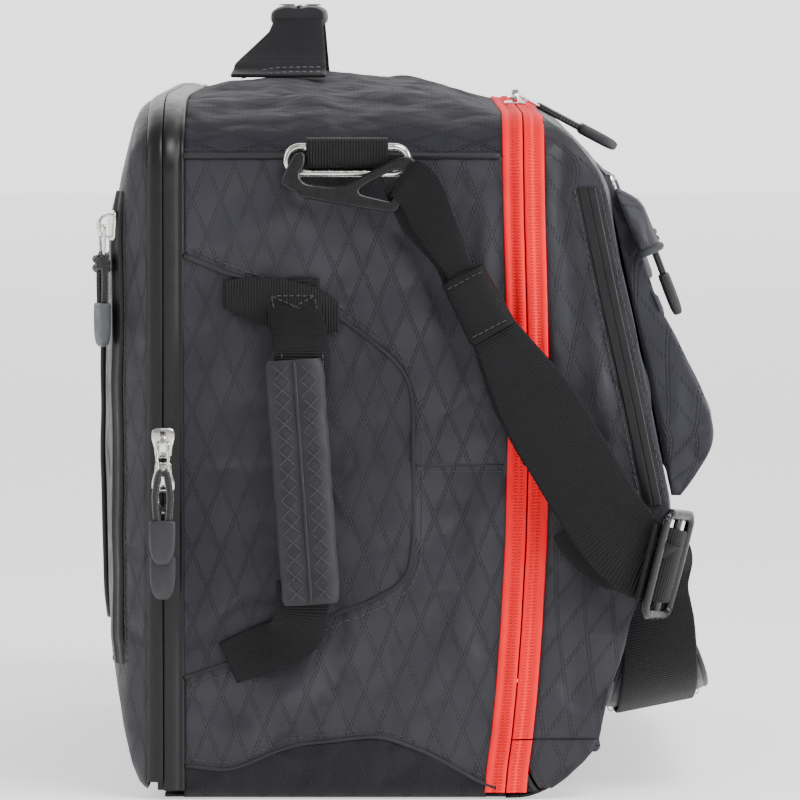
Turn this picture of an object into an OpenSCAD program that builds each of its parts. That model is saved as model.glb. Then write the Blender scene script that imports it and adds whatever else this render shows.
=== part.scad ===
/* [Bag] */
// Length of the bag between its two end panels
bag_l = 520; // [500:5:560]
// Height of the top panel at the middle of the bag
dome_top = 336; // [330:1:342]
// Height where the end panels start to round over into the top
shoulder = 290; // [285:1:294]
// Thickness of a fabric wall with its lining and foam
wall = 2.5; // [2:0.1:3]

/* [Main lid] */
// Y of the middle of the red main zip
main_zip_y = -88; // [-88:1:-87]
// Y of the lid hinge at the front seam
lid_hinge_y = -123; // [-123.5:0.5:-122.5]
// Z of the lid hinge at the front seam
lid_hinge_z = 26; // [25:0.5:26.5]

/* [Rear panel] */
// Y of the middle of the rear zip
rear_zip_y = 80; // [79.5:0.5:80.5]

/* [Handles and strap] */
// Width of the shoulder strap webbing
strap_w = 38; // [25:1:40]
// Width of a handle grip
grip_w = 27; // [24:1:30]
// Clear gap between a side handle's grip and the end panel
grip_gap = 14; // [12:0.5:16]
// Y of the strap hook's swing axis
swing_y = 17; // [16.5:0.5:17.5]
// Z of the strap hook's swing axis
swing_z = 299; // [298.5:0.5:299.5]

/* [Zip hardware] */
// Width of a slider
slider_w = 11; // [10:0.5:12]
// Length of a slider
slider_l = 14; // [12:0.5:15]
// Radius of the bar that a pull hangs on
bar_r = 1.1; // [1:0.05:1.2]
// Width of the rubber end of a pull
pull_w = 12; // [10:0.5:13]

/* [Hidden] */
half_l = bag_l / 2;
tape_t = 1.2;
patch_t = 1.8;
zip_top_z = 318;
rear_top_z = 326;
split = 0.2;
mouth_front = main_zip_y + split;
mouth_rear = rear_zip_y - split;
bar_lift = 5.6;
slider_lift = 1.2;
hook_in = 9;
hook_out = 13;
pad_end = 95;
strap_tilt = 12;
strap_mid = [-150, 34.5];
pocket_half = 238;

// The left half of the slack strap, seen from the front
strap_drop = [
    [-half_l + 17, 102], [-half_l + 18.5, 86], [-half_l + 23, 68], [-half_l + 33, 53],
    [-half_l + 51, 43], [-178, 37.5], [-110, 35], [0, strap_mid.y]
];
strap_path = concat(
    strap_drop, [for (i = [len(strap_drop) - 2 : -1 : 0]) [-strap_drop[i].x, strap_drop[i].y]]
);

// Outlines in the Y-Z plane
body_roof = [
    [main_zip_y - 0.5, 318], [-76, 318], [-60, 329], [-40, 334], [-10, 337],
    [30, 336], [55, 331], [66, 326], [rear_zip_y + 1, 326]
];
lip_path = [[-80, 0], [-90, 0.6], [-99, 4], [-109, 10.5], [-117, 17.5], [-121, 23.5]];
lid_path = [
    [lid_hinge_y - 0.6, lid_hinge_z + 2], [-138, 81], [-158, 135], [-125, 294],
    [-110, 309.5], [-98, zip_top_z], [main_zip_y - split, zip_top_z]
];
rear_path = [
    [82.5, 4.5], [92, 5], [100, 33], [106, 66], [109, 114], [110, 161],
    [109, 233], [106, 266], [101, 294], [95, 316], [90, rear_top_z],
    [rear_zip_y + split, rear_top_z]
];
pad_side = [
    [-126, 20], [-126.5, 30], [-133.5, 54], [-141.5, 82], [-146.5, 100], [-156, 103],
    [-163, 86], [-171, 66], [-178, 50], [-174, 36], [-155, 20]
];
webbing_side = [
    [-133, 20], [-133, 40], [-138, 62], [-143, 86], [-147, 104], [-157, 104], [-165, 86],
    [-170, 62], [-171, 44], [-171, 20]
];
pocket_path = [[-163.5, 141], [-178, 169], [-152, 233], [-139, 265], [-131, 286], [-129, 292]];

function unit(v) = v / norm(v);
function turned(v) = [-v[1], v[0]];
function last(list) = len(list) - 1;
function reversed(list) = [for (i = [last(list) : -1 : 0]) list[i]];

// The points of a path moved sideways by d, to the left of the way it runs
function beside(path, d) = [
    for (i = [0 : last(path)])
        path[i] + d * turned(unit(path[min(i + 1, last(path))] - path[max(i - 1, 0)]))
];

// Height of the domed top at x, as a superellipse over the end panels' shoulders
function dome_z(x, half, top) =
    shoulder + (top - shoulder) * pow(max(0, 1 - pow(abs(x) / half, 3)), 1 / 3);

// The bag seen from the front: rounded feet of radius r and a domed top
function front_outline(half, top, base, r) = concat(
    [for (a = [180 : 15 : 270]) [-half + r + r * cos(a), base + r + r * sin(a)]],
    [for (a = [270 : 15 : 360]) [half - r + r * cos(a), base + r + r * sin(a)]],
    [for (a = [90 : -7.5 : -90]) [half * sin(a), dome_z(half * sin(a), half, top)]]
);

// A strip of constant thickness t along a path, on its left side
module bent_strip(path, t) {
    polygon(concat(path, reversed(beside(path, t))));
}

// Extrudes a Y-Z outline along X, centred on the bag
module along_x(length) {
    rotate([90, 0, 90])
        linear_extrude(length, center = true)
            children();
}

// Extrudes an X-Z outline along Y, from y0 to y1
module along_y(y0, y1) {
    translate([0, y1, 0])
        rotate([90, 0, 0])
            linear_extrude(y1 - y0)
                children();
}

module block(low, high) {
    translate(low)
        cube(high - low);
}

// A Y-Z outline as a slab outside the left end panel, from x0 to x1 away from it
module slab(x0, x1) {
    translate([-half_l - x1, 0, 0])
        rotate([90, 0, 90])
            linear_extrude(x1 - x0)
                children();
}

// One for the left end and one mirrored for the right end
module mirrored(right) {
    mirror([right ? 1 : 0, 0, 0])
        children();
}

// The solid under a Y-Z outline and a front outline
module trimmed(side, half, top, base, r) {
    intersection() {
        along_x(2 * half + 10)
            polygon(side);
        along_y(-220, 220)
            polygon(front_outline(half, top, base, r));
    }
}

// A shell of the wall's thickness between an outer and an inner Y-Z outline
module shell(outer, inner, top, base, r) {
    difference() {
        trimmed(outer, half_l, top, base, r);
        trimmed(inner, half_l - wall, top - wall, base + wall, r);
    }
}

// A U-shaped tape over the outside of the bag, from y0 to y1 and down to z0
module zip_tape(y0, y1, top_z, z0) {
    difference() {
        intersection() {
            along_y(y0, y1)
                polygon(front_outline(half_l + tape_t, dome_top + tape_t, 0, 2));
            block([-300, y0, z0], [300, y1, top_z + tape_t]);
        }
        intersection() {
            along_y(y0 - 1, y1 + 1)
                polygon(front_outline(half_l, dome_top, 0, 2));
            block([-300, y0 - 1, -1], [300, y1 + 1, top_z]);
        }
    }
}

// ---------- Main body ----------

module base_panel() {
    color("#26262a") {
        block([-half_l + wall, -80, 0], [half_l - wall, mouth_rear, wall]);
        along_x(bag_l - 2 * wall - 0.4)
            bent_strip(reversed(lip_path), wall);
        rear_lip();
        hinge_piping();
        for (right = [false, true])
            mirrored(right)
                lip_corner();
    }
}

// The piped edge that the lid hinges on
module hinge_piping() {
    translate([-half_l + 4, lid_hinge_y + 1.4, lid_hinge_z - 1.6])
        rotate([0, 90, 0])
            cylinder(h = bag_l - 8, r = 1.3, $fn = 32);
}

// The strip that carries the base up to the rear panel's hinge
module rear_lip() {
    along_x(bag_l - 60)
        polygon([[mouth_rear, 0], [86, 1.5], [86, 2.9], [mouth_rear, wall]]);
}

// The small corner that the lid's side leaves as it turns up and forward
module lip_corner() {
    difference() {
        translate([-half_l + wall / 2 + 0.5, 0, 0])
            along_x(wall + 1)
                polygon([
                    [mouth_front, 0.8], [mouth_front, lid_hinge_z],
                    [main_zip_y - 3, lid_hinge_z - 1], [-95, 2.6]
                ]);
        translate([-half_l - 5, lid_hinge_y, lid_hinge_z])
            rotate([0, 90, 0])
                cylinder(h = 20, r = lid_reach() + 0.5, $fn = 96);
    }
}

// Distance from the lid's hinge to its zip edge
function lid_reach() = abs(main_zip_y - split - lid_hinge_y);

module base_board() {
    color("#1c1c1f")
        block([-half_l + 10, -78, wall], [half_l - 10, 66, wall + 4]);
}

module end_panel() {
    color("#3c3c41")
        translate([-half_l + wall / 2, 0, 0])
            along_x(wall)
                polygon([
                    [mouth_front, 0], [mouth_front, shoulder],
                    [mouth_rear, shoulder], [mouth_rear, 0]
                ]);
}

module top_panel() {
    roof_in = beside(body_roof, -wall);
    color("#46464b")
        intersection() {
            shell(
                concat([[body_roof[0][0], -5]], body_roof, [[rear_zip_y + 1, -5]]),
                concat([[-120, -20], [-120, roof_in[0][1]]], roof_in,
                    [[120, roof_in[last(roof_in)][1]], [120, -20]]),
                dome_top, 0, 14
            );
            block([-300, mouth_front, shoulder], [300, mouth_rear, 400]);
        }
}

module divider_panel() {
    inset = wall + 0.5;
    color("#2c2c30")
        intersection() {
            along_y(70, 72.5)
                polygon(front_outline(half_l - inset, dome_top - inset, wall, 2));
            block([-half_l, 69, 0], [half_l, 74, 318]);
        }
}

// The piped reinforcement behind a side handle
module end_patch() {
    color("#3a3a3f")
        slab(0, patch_t)
            hull() {
                translate([-18, 113])
                    circle(r = 18, $fn = 48);
                translate([-14, 190])
                    circle(r = 22, $fn = 48);
                translate([66, 66])
                    square([2, 187]);
            }
}

// Piping cords along the seam between each end panel and the top
module end_piping() {
    color("#1f1f22")
        for (side = [-1, 1], run = [[14.5, 66], [-76, -26.5]])
            translate([side * (half_l + 0.9), run[0], shoulder + 9])
                rotate([-90, 0, 0])
                    cylinder(h = run[1] - run[0], r = 1.1, $fn = 32);
}

module main_zip_tape_body() {
    color("#f8413c")
        union() {
            zip_tape(mouth_front, main_zip_y + 10, zip_top_z, 3);
            for (right = [false, true])
                mirrored(right)
                    block([-half_l - tape_t, main_zip_y - 9, 3],
                        [-half_l, mouth_front, lid_hinge_z - 11]);
        }
}

module rear_zip_tape_body() {
    color("#2a2a2e")
        zip_tape(rear_zip_y - 9.5, mouth_rear, rear_top_z, 12);
}

// A webbing sleeve sewn into the top seam, round a ring's upper bar
module strap_loop() {
    color("#2b2b2f")
        difference() {
            block([-half_l - 8.4, -25, 301.2], [-half_l - 0.2, 13.3, 309.5]);
            translate([-half_l - 5, -60, swing_z + 6.1])
                rotate([-90, 0, 0])
                    cylinder(h = 100, r = 2, $fn = 32);
        }
}

// A flat ring of 60 by 16 mm, bent from wire of 3.8 mm
module strap_ring() {
    wire_r = 1.9;
    rise = 6.1;
    color("#b9b9bb")
        translate([-half_l - 5, -6, swing_z]) {
            for (side = [-1, 1])
                translate([0, -22, side * rise])
                    rotate([-90, 0, 0])
                        cylinder(h = 44, r = wire_r, $fn = 32);
            for (end = [0, 180])
                rotate([end, 0, 0])
                    translate([0, 22, 0])
                        rotate([0, 90, 0])
                            rotate_extrude(angle = 180, $fn = 48)
                                translate([rise, 0])
                                    circle(r = wire_r, $fn = 32);
        }
}

// ---------- Handles ----------

side_grip_low = 93;
side_grip_high = 207;
side_grip_y = 14.7;

module side_handle_grip() {
    color("#3b3b40")
        translate([-half_l - grip_gap - 6, side_grip_y, side_grip_low])
            linear_extrude(side_grip_high - side_grip_low)
                hull()
                    for (side = [-1, 1])
                        translate([0, side * (grip_w / 2 - 6)])
                            circle(r = 6, $fn = 32);
}

// The two webbing ends that tie a side grip to its panel
module side_handle_webbing() {
    far = -half_l - grip_gap - 7;
    near = -half_l - patch_t;
    color("#2b2b2f") {
        translate([0, side_grip_y + 12.5, 0])
            rotate([90, 0, 0])
                linear_extrude(25)
                    polygon([
                        [far, side_grip_high + 0.3], [far + 2, side_grip_high + 0.3],
                        [near, 227], [near, 242], [near - 1.6, 242], [near - 2.2, 229]
                    ]);
        translate([0, side_grip_y + 20, 0])
            rotate([90, 0, 0])
                linear_extrude(25)
                    polygon([
                        [far, side_grip_low - 0.3], [far + 2, side_grip_low - 0.3],
                        [near, 73], [near, 58], [near - 1.6, 58], [near - 2.2, 71]
                    ]);
    }
}

top_grip_z = 364;
top_grip_y = 19.5;
top_grip_half = 52;

module top_handle_grip() {
    color("#55555b")
        translate([-top_grip_half, top_grip_y, top_grip_z])
            rotate([0, 90, 0])
                linear_extrude(2 * top_grip_half)
                    hull()
                        for (side = [-1, 1])
                            translate([0, side * (grip_w / 2 - 6)])
                                circle(r = 6, $fn = 32);
}

// The handle's two webbing legs, broad at the top panel and folded at the grip
module top_handle_webbing() {
    color("#35353a")
        for (side = [-1, 1])
            intersection() {
                rotate([90, 0, 0])
                    linear_extrude(200, center = true)
                        polygon([
                            [side * 80, 337.5], [side * 77, 337.5],
                            [side * (top_grip_half + 0.2), 366], [side * (top_grip_half + 3), 366]
                        ]);
                along_x(200)
                    polygon([[6, 330], [52, 330], [51, 345], [33, 363], [33, 370], [6, 370]]);
            }
}

// ---------- Front lid ----------

module lid_tray() {
    inner = beside(lid_path, -wall);
    difference() {
        trimmed(concat(lid_path, [[main_zip_y - split, lid_hinge_z + 2]]),
            half_l, dome_top, 0, 14);
        trimmed(
            concat([[inner[0][0], 0]], inner, [[-60, inner[last(inner)][1]], [-60, 0]]),
            half_l - wall, dome_top - wall, wall, 14
        );
    }
}

module lid_front_panel() {
    color("#434348")
        difference() {
            lid_tray();
            for (side = [-1, 1])
                translate([side * (half_l - wall / 2 + 10), 0, 0])
                    cube([wall + 20, 500, 2 * shoulder], center = true);
        }
}

module lid_gusset() {
    color("#3e3e43") {
        intersection() {
            lid_tray();
            block([-half_l - 1, -200, lid_hinge_z + 2], [-half_l + wall, 0, shoulder]);
        }
        intersection() {
            translate([-half_l + wall / 2, 0, 0])
                along_x(wall)
                    polygon([
                        [lid_hinge_y - 0.6, lid_hinge_z + 2], [-122, 23], [-109, 9.5],
                        [-99, 3], [-90, 2], [main_zip_y - split, lid_hinge_z + 2]
                    ]);
            translate([-half_l - 5, lid_hinge_y, lid_hinge_z])
                rotate([0, 90, 0])
                    cylinder(h = 20, r = lid_reach(), $fn = 96);
        }
    }
}

module main_zip_tape_lid() {
    color("#f8413c")
        zip_tape(main_zip_y - 10, main_zip_y - split, zip_top_z, lid_hinge_z + 2);
}

// The black zip that runs up both front edges of the lid
module front_zip_strip() {
    color("#1d1d20")
        for (right = [false, true])
            mirrored(right)
                slab(0, tape_t)
                    polygon([[-153.5, 138], [-121.5, 285], [-114.5, 285], [-146.5, 138]]);
}

// ---------- Front pocket ----------

module pocket_front_panel() {
    color("#4a4a4f")
        along_x(2 * pocket_half)
            bent_strip(pocket_path, -2);
}

module pocket_gussets() {
    inner = beside(pocket_path, -2.3);
    color("#3e3e43")
        for (side = [-1, 1])
            translate([side * (pocket_half - 1), 0, 0])
                along_x(2)
                    polygon(concat(
                        [for (i = [0 : last(inner) - 1]) inner[i]],
                        [[-127.6, 285], [-159.3, 139.5]]
                    ));
}

// The panel's upper face carries the zip
zip_face = pocket_path[4] - pocket_path[3];
pocket_lean = -atan2(zip_face[0], zip_face[1]);

module pocket_zip_tape() {
    face = [for (share = [0.1, 0.85]) pocket_path[3] + share * zip_face];
    color("#1d1d20")
        along_x(2 * pocket_half - 30)
            bent_strip(face, 0.6);
}

// Fabric hoods that hold the sliders at the pocket's upper corners
module pocket_garages() {
    color("#55555a")
        for (side = [-1, 1])
            translate([side * 230, 0, 0])
                along_x(14)
                    polygon([
                        [-132.7, 281.8], [-143.7, 254], [-149.5, 256], [-145, 276], [-138, 283]
                    ]);
}

// ---------- Rear panel ----------

// Half of the rear panel's outline from above, with its rounded vertical edge
edge_plan = [[0, 60], [0, 88], [10, 97], [32, 106], [62, 120]];
corner_run = edge_plan[3] - edge_plan[2];
corner_turn = 180 + atan2(corner_run[1], corner_run[0]);
corner_middle = [-half_l, 0] + (edge_plan[2] + edge_plan[3]) / 2;

module rear_plan(inset) {
    side = beside(edge_plan, -inset);
    translate([0, 0, -10])
        linear_extrude(400)
            polygon(concat(
                [for (p = side) [p[0] - half_l, p[1]]],
                [for (p = reversed(side)) [half_l - p[0], p[1]]]
            ));
}

module rear_panel_shell() {
    inner = beside(rear_path, wall);
    low = rear_zip_y + split;
    color("#3b3b40")
        difference() {
            intersection() {
                trimmed(concat(rear_path, [[low, 12]]), half_l, dome_top, 4, 24);
                rear_plan(0);
            }
            intersection() {
                trimmed(
                    concat([[70, inner[0][1]]], inner, [[70, inner[last(inner)][1]]]),
                    half_l - wall, dome_top - wall, 4 + wall, 24
                );
                rear_plan(wall);
            }
        }
}

module rear_zip_tape_panel() {
    color("#2a2a2e")
        zip_tape(rear_zip_y + split, rear_zip_y + 7, rear_top_z, 28);
}

// The flat outer layer of the rear panel's own pocket
module rear_pocket_panel() {
    color("#35353a")
        along_y(110.1, 111.9)
            rounded_rectangle(205, 80, 252, 22);
}

module rounded_rectangle(half, z0, z1, r) {
    hull()
        for (side = [-1, 1], z = [z0 + r, z1 - r])
            translate([side * (half - r), z])
                circle(r = r, $fn = 32);
}

// The pocket's zip, up the rear panel's rounded left edge
module rear_pocket_zip() {
    color("#1d1d20")
        at([corner_middle[0], corner_middle[1], 0], corner_turn, 0)
            translate([-8, -1.4, 62])
                cube([16, 1.4, 218]);
}

// ---------- Sliders and pulls ----------

// A slider on a face whose outward normal is -Y, with its bar along X
module slider(along_bar) {
    size_x = along_bar ? slider_l : slider_w;
    size_z = along_bar ? slider_w : slider_l;
    color("#c4c2be")
        translate([0, -slider_lift, 0]) {
            translate([-size_x / 2, -1.4, -size_z / 2])
                cube([size_x, 1.4, size_z]);
            for (side = [-1, 1])
                translate([side * 3.3 - 0.8, -bar_lift - 1, -2])
                    cube([1.6, bar_lift - 0.2, 4]);
            translate([-3.3, -bar_lift, 0])
                rotate([0, 90, 0])
                    cylinder(h = 6.6, r = bar_r, $fn = 32);
        }
}

// A pull that hangs from a slider's bar: eye, wire link, cord and rubber end
module pull() {
    color("#2c2c30") {
        difference() {
            rotate([0, 90, 0])
                cylinder(h = 3.6, r = 2.9, center = true, $fn = 32);
            rotate([0, 90, 0])
                cylinder(h = 5, r = 1.6, center = true, $fn = 32);
        }
        translate([-1.5, -0.7, -16])
            cube([3, 1.4, 13.6]);
        for (side = [-1, 1])
            translate([side * 2.2, 0, -37])
                cylinder(h = 22.5, r = 1.65, $fn = 32);
        translate([0, 3.4, 0])
            rotate([90, 0, 0])
                linear_extrude(6.8)
                    union() {
                        translate([0, -51])
                            circle(r = pull_w / 2, $fn = 48);
                        polygon([
                            [-pull_w / 2 + 1, -36], [pull_w / 2 - 1, -36],
                            [pull_w / 2, -51], [-pull_w / 2, -51]
                        ]);
                    }
    }
}

// Puts a slider's or a pull's frame at a place, leaning back by tilt and facing turn
module at(place, turn, tilt) {
    translate(place)
        rotate([0, 0, turn])
            rotate([tilt, 0, 0])
                children();
}

// The bar of a slider at a place, in that slider's own frame
module on_bar() {
    translate([0, -slider_lift - bar_lift, 0])
        children();
}

main_slider_x = 11;
main_pull_lean = 62;
top_face_z = zip_top_z + tape_t;

module main_slider(side) {
    at([side * main_slider_x, main_zip_y, top_face_z], 0, -90)
        slider(true);
}

module main_pull(side) {
    translate([side * main_slider_x, main_zip_y, top_face_z + slider_lift + bar_lift])
        rotate([-main_pull_lean, 0, 0])
            pull();
}

rear_face_x = -half_l - tape_t;

module rear_slider(z) {
    at([rear_face_x, rear_zip_y, z], -90, 0)
        slider(false);
}

module rear_pull(z, tilt) {
    at([rear_face_x, rear_zip_y, z], -90, 0)
        on_bar()
            rotate([tilt, 0, 0])
                pull();
}

rear_pocket_z = 268;

module on_rear_pocket_zip() {
    at([corner_middle[0], corner_middle[1], rear_pocket_z], corner_turn, 0)
        translate([0, -1.4, 0])
            children();
}

module rear_pocket_slider() {
    on_rear_pocket_zip()
        slider(false);
}

module rear_pocket_pull() {
    on_rear_pocket_zip()
        on_bar()
            pull();
}

pocket_slider_x = 212;
pocket_slider_place = pocket_path[3] + 0.5 * zip_face + 0.6 * turned(unit(zip_face));

module pocket_slider(side) {
    at([side * pocket_slider_x, pocket_slider_place[0], pocket_slider_place[1]], 0,
        pocket_lean)
        slider(true);
}

module pocket_pull(side) {
    at([side * pocket_slider_x, pocket_slider_place[0], pocket_slider_place[1]], 0,
        pocket_lean)
        on_bar()
            pull();
}

// ---------- Shoulder strap ----------

// A flat open hook: a prong on the left and a slanting slot for the webbing on the right
module hook() {
    color("#2e2f34") {
        slab(hook_in, hook_out)
            difference() {
                polygon([
                    [15, 303], [13.5, 302], [13.8, 297], [16.2, 293.5], [16, 290.5],
                    [13, 288.2], [0.5, 286.8], [-6, 288], [-25.5, 299], [-32.3, 300.6],
                    [-36, 300.8], [-37.8, 298.5], [-30.2, 276], [-25.6, 274.8],
                    [17.2, 282], [18, 284], [24.8, 287.8], [24.8, 290.5], [20, 300], [18, 302]
                ]);
                polygon([[-8, 284.6], [-33, 297.6], [-27.6, 280], [-22, 281.2]]);
            }
        translate([-half_l - hook_in - 1, swing_y, swing_z])
            rotate([0, 90, 0])
                cylinder(h = 6.5, r = 2.2, $fn = 32);
    }
}

// The doubled webbing from the hook down to the adjuster at the front corner.
// It runs outside the hook, turns round the hook's bar and comes back inside it.
module strap_webbing() {
    across = strap_w / 2 * turned(unit([-78.5, -135.5]));
    high = [-64, 237.5];
    through = [[-31.6, 294], [-28.6, 284], [-27.2, 284], [-30.2, 293.2]];
    color("#28282c") {
        slab(hook_out + 0.3, hook_out + 3.1)
            polygon([
                through[2], [-28.5, 276], high + across, [-141.4, 91.6],
                [-150.6, 128.4], high - across, [-54, 285], [-38.5, 299.5], through[3]
            ]);
        slab(hook_in - 1.7, hook_out + 0.6)
            polygon(through);
        slab(hook_in - 1.7, hook_in - 0.4)
            polygon([
                through[2], [-28.5, 276], [-47, 240], [-64, 251],
                [-50, 280], [-37, 297], through[3]
            ]);
        slab(hook_in - 1, hook_out + 0.6)
            polygon([[-44, 246], [-60, 254], [-52, 268], [-41, 262]]);
    }
}

// A flat adjuster frame with a middle bar; the webbing runs over the bar
module tri_glide() {
    color("#1e1e21")
        translate([-half_l - 2, -155.5, 110])
            rotate([14, 0, 0])
                rotate([0, 0, -25])
                    difference() {
                        cube([34, 4, 54], center = true);
                        for (side = [-1, 1])
                            translate([side * 8, 0, 0])
                                cube([8, 6, strap_w + 3], center = true);
                    }
}

// A band of the strap along an X-Z path, between two offsets from it, trimmed by its Y-Z outline
module hanging(path, low, high, side) {
    intersection() {
        translate([0, strap_mid.x, strap_mid.y])
            rotate([-strap_tilt, 0, 0])
                translate([0, -strap_mid.x, -strap_mid.y])
                    along_y(-230, -90)
                        polygon(concat(beside(path, low), reversed(beside(path, high))));
        along_x(2 * bag_l)
            polygon(side);
    }
}

module strap_front_webbing() {
    color("#28282c")
        hanging(strap_path, -2, 0, webbing_side);
}

// The pad lies on the webbing, from just under the left tri-glide to past the middle
module shoulder_pad() {
    color("#2a2a2e")
        hanging(concat(strap_drop, [[pad_end, strap_mid.y + 0.5]]), 0.3, 8, pad_side);
}

base_panel();
base_board();
end_panel();  // end_panel_left
mirrored(true) end_panel();  // end_panel_right
top_panel();
divider_panel();
end_patch();  // end_patch_left
mirrored(true) end_patch();  // end_patch_right
end_piping();
main_zip_tape_body();
rear_zip_tape_body();
strap_loop();  // strap_loop_left
mirrored(true) strap_loop();  // strap_loop_right
strap_ring();  // strap_ring_left
mirrored(true) strap_ring();  // strap_ring_right
side_handle_webbing();  // side_handle_left_webbing
mirrored(true) side_handle_webbing();  // side_handle_right_webbing
top_handle_webbing();
lid_front_panel();
lid_gusset();  // lid_gusset_left
mirrored(true) lid_gusset();  // lid_gusset_right
main_zip_tape_lid();
front_zip_strip();
main_slider(-1);  // main_slider_left
main_slider(1);  // main_slider_right
main_pull(-1);  // main_pull_left
main_pull(1);  // main_pull_right
pocket_front_panel();
pocket_gussets();
pocket_zip_tape();
pocket_garages();
pocket_slider(-1);  // pocket_slider_left
pocket_slider(1);  // pocket_slider_right
pocket_pull(-1);  // pocket_pull_left
pocket_pull(1);  // pocket_pull_right
rear_panel_shell();
rear_zip_tape_panel();
rear_pocket_panel();
rear_pocket_zip();
rear_pocket_slider();
rear_pocket_pull();
rear_slider(167);  // rear_slider_upper
rear_slider(151);  // rear_slider_lower
rear_pull(167, -17);  // rear_pull_upper
rear_pull(151, 0);  // rear_pull_lower
top_handle_grip();
side_handle_grip();  // side_handle_left_grip
mirrored(true) side_handle_grip();  // side_handle_right_grip
hook();  // hook_left
mirrored(true) hook();  // hook_right
strap_webbing();  // strap_webbing_left
mirrored(true) strap_webbing();  // strap_webbing_right
strap_front_webbing();
tri_glide();  // tri_glide_left
mirrored(true) tri_glide();  // tri_glide_right
shoulder_pad();
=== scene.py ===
"""Looks for the hockey equipment bag. Lengths are in millimetres until a mesh is made."""
import math

import bpy
import numpy as np
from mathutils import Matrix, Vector
from mathutils.geometry import tessellate_polygon


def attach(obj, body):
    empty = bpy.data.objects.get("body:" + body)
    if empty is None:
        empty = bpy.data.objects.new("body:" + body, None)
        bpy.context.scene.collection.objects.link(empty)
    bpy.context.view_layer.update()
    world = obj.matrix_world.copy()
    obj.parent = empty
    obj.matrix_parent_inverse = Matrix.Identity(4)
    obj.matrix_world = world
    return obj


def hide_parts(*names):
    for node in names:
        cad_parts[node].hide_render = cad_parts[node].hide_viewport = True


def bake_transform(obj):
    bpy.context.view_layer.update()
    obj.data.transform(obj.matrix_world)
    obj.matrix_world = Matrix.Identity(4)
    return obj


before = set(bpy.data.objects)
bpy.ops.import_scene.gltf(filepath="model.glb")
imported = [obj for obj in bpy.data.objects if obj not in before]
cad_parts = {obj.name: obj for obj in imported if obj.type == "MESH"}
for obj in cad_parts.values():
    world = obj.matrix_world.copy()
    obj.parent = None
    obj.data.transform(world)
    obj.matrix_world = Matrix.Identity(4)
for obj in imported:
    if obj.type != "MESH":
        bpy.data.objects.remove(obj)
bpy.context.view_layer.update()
MM = 0.001
HALF = 260.0
SHOULDER = 290.0
ARCH_RISE = 46


# ---------------------------------------------------------------- node arithmetic
class Val:
    """A value in a node tree that ordinary arithmetic works on."""

    def __init__(self, tree, socket):
        self.tree, self.socket = tree, socket

    def op(self, kind, *others, swap=False):
        node = self.tree.nodes.new("ShaderNodeMath")
        node.operation = kind
        args = (*others, self) if swap else (self, *others)
        for slot, arg in zip(node.inputs, args):
            if isinstance(arg, Val):
                self.tree.links.new(arg.socket, slot)
            else:
                slot.default_value = arg
        return Val(self.tree, node.outputs[0])

    def __add__(self, other):
        return self.op("ADD", other)

    def __sub__(self, other):
        return self.op("SUBTRACT", other)

    def __rsub__(self, other):
        return self.op("SUBTRACT", other, swap=True)

    def __mul__(self, other):
        return self.op("MULTIPLY", other)

    def frac(self):
        return self.op("FRACT")

    def abs(self):
        return self.op("ABSOLUTE")

    def sin(self):
        return self.op("SINE")

    def max(self, other):
        return self.op("MAXIMUM", other)

    def fit(self, low, high, to_low=0.0, to_high=1.0):
        node = self.tree.nodes.new("ShaderNodeMapRange")
        node.interpolation_type = "SMOOTHSTEP"
        self.tree.links.new(self.socket, node.inputs["Value"])
        for key, value in zip(("From Min", "From Max", "To Min", "To Max"), (low, high, to_low, to_high)):
            node.inputs[key].default_value = value
        return Val(self.tree, node.outputs["Result"])


def srgb(r, g, b):
    return tuple((c / 255 / 12.92 if c < 11 else ((c / 255 + 0.055) / 1.055) ** 2.4) for c in (r, g, b)) + (1.0,)


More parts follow.
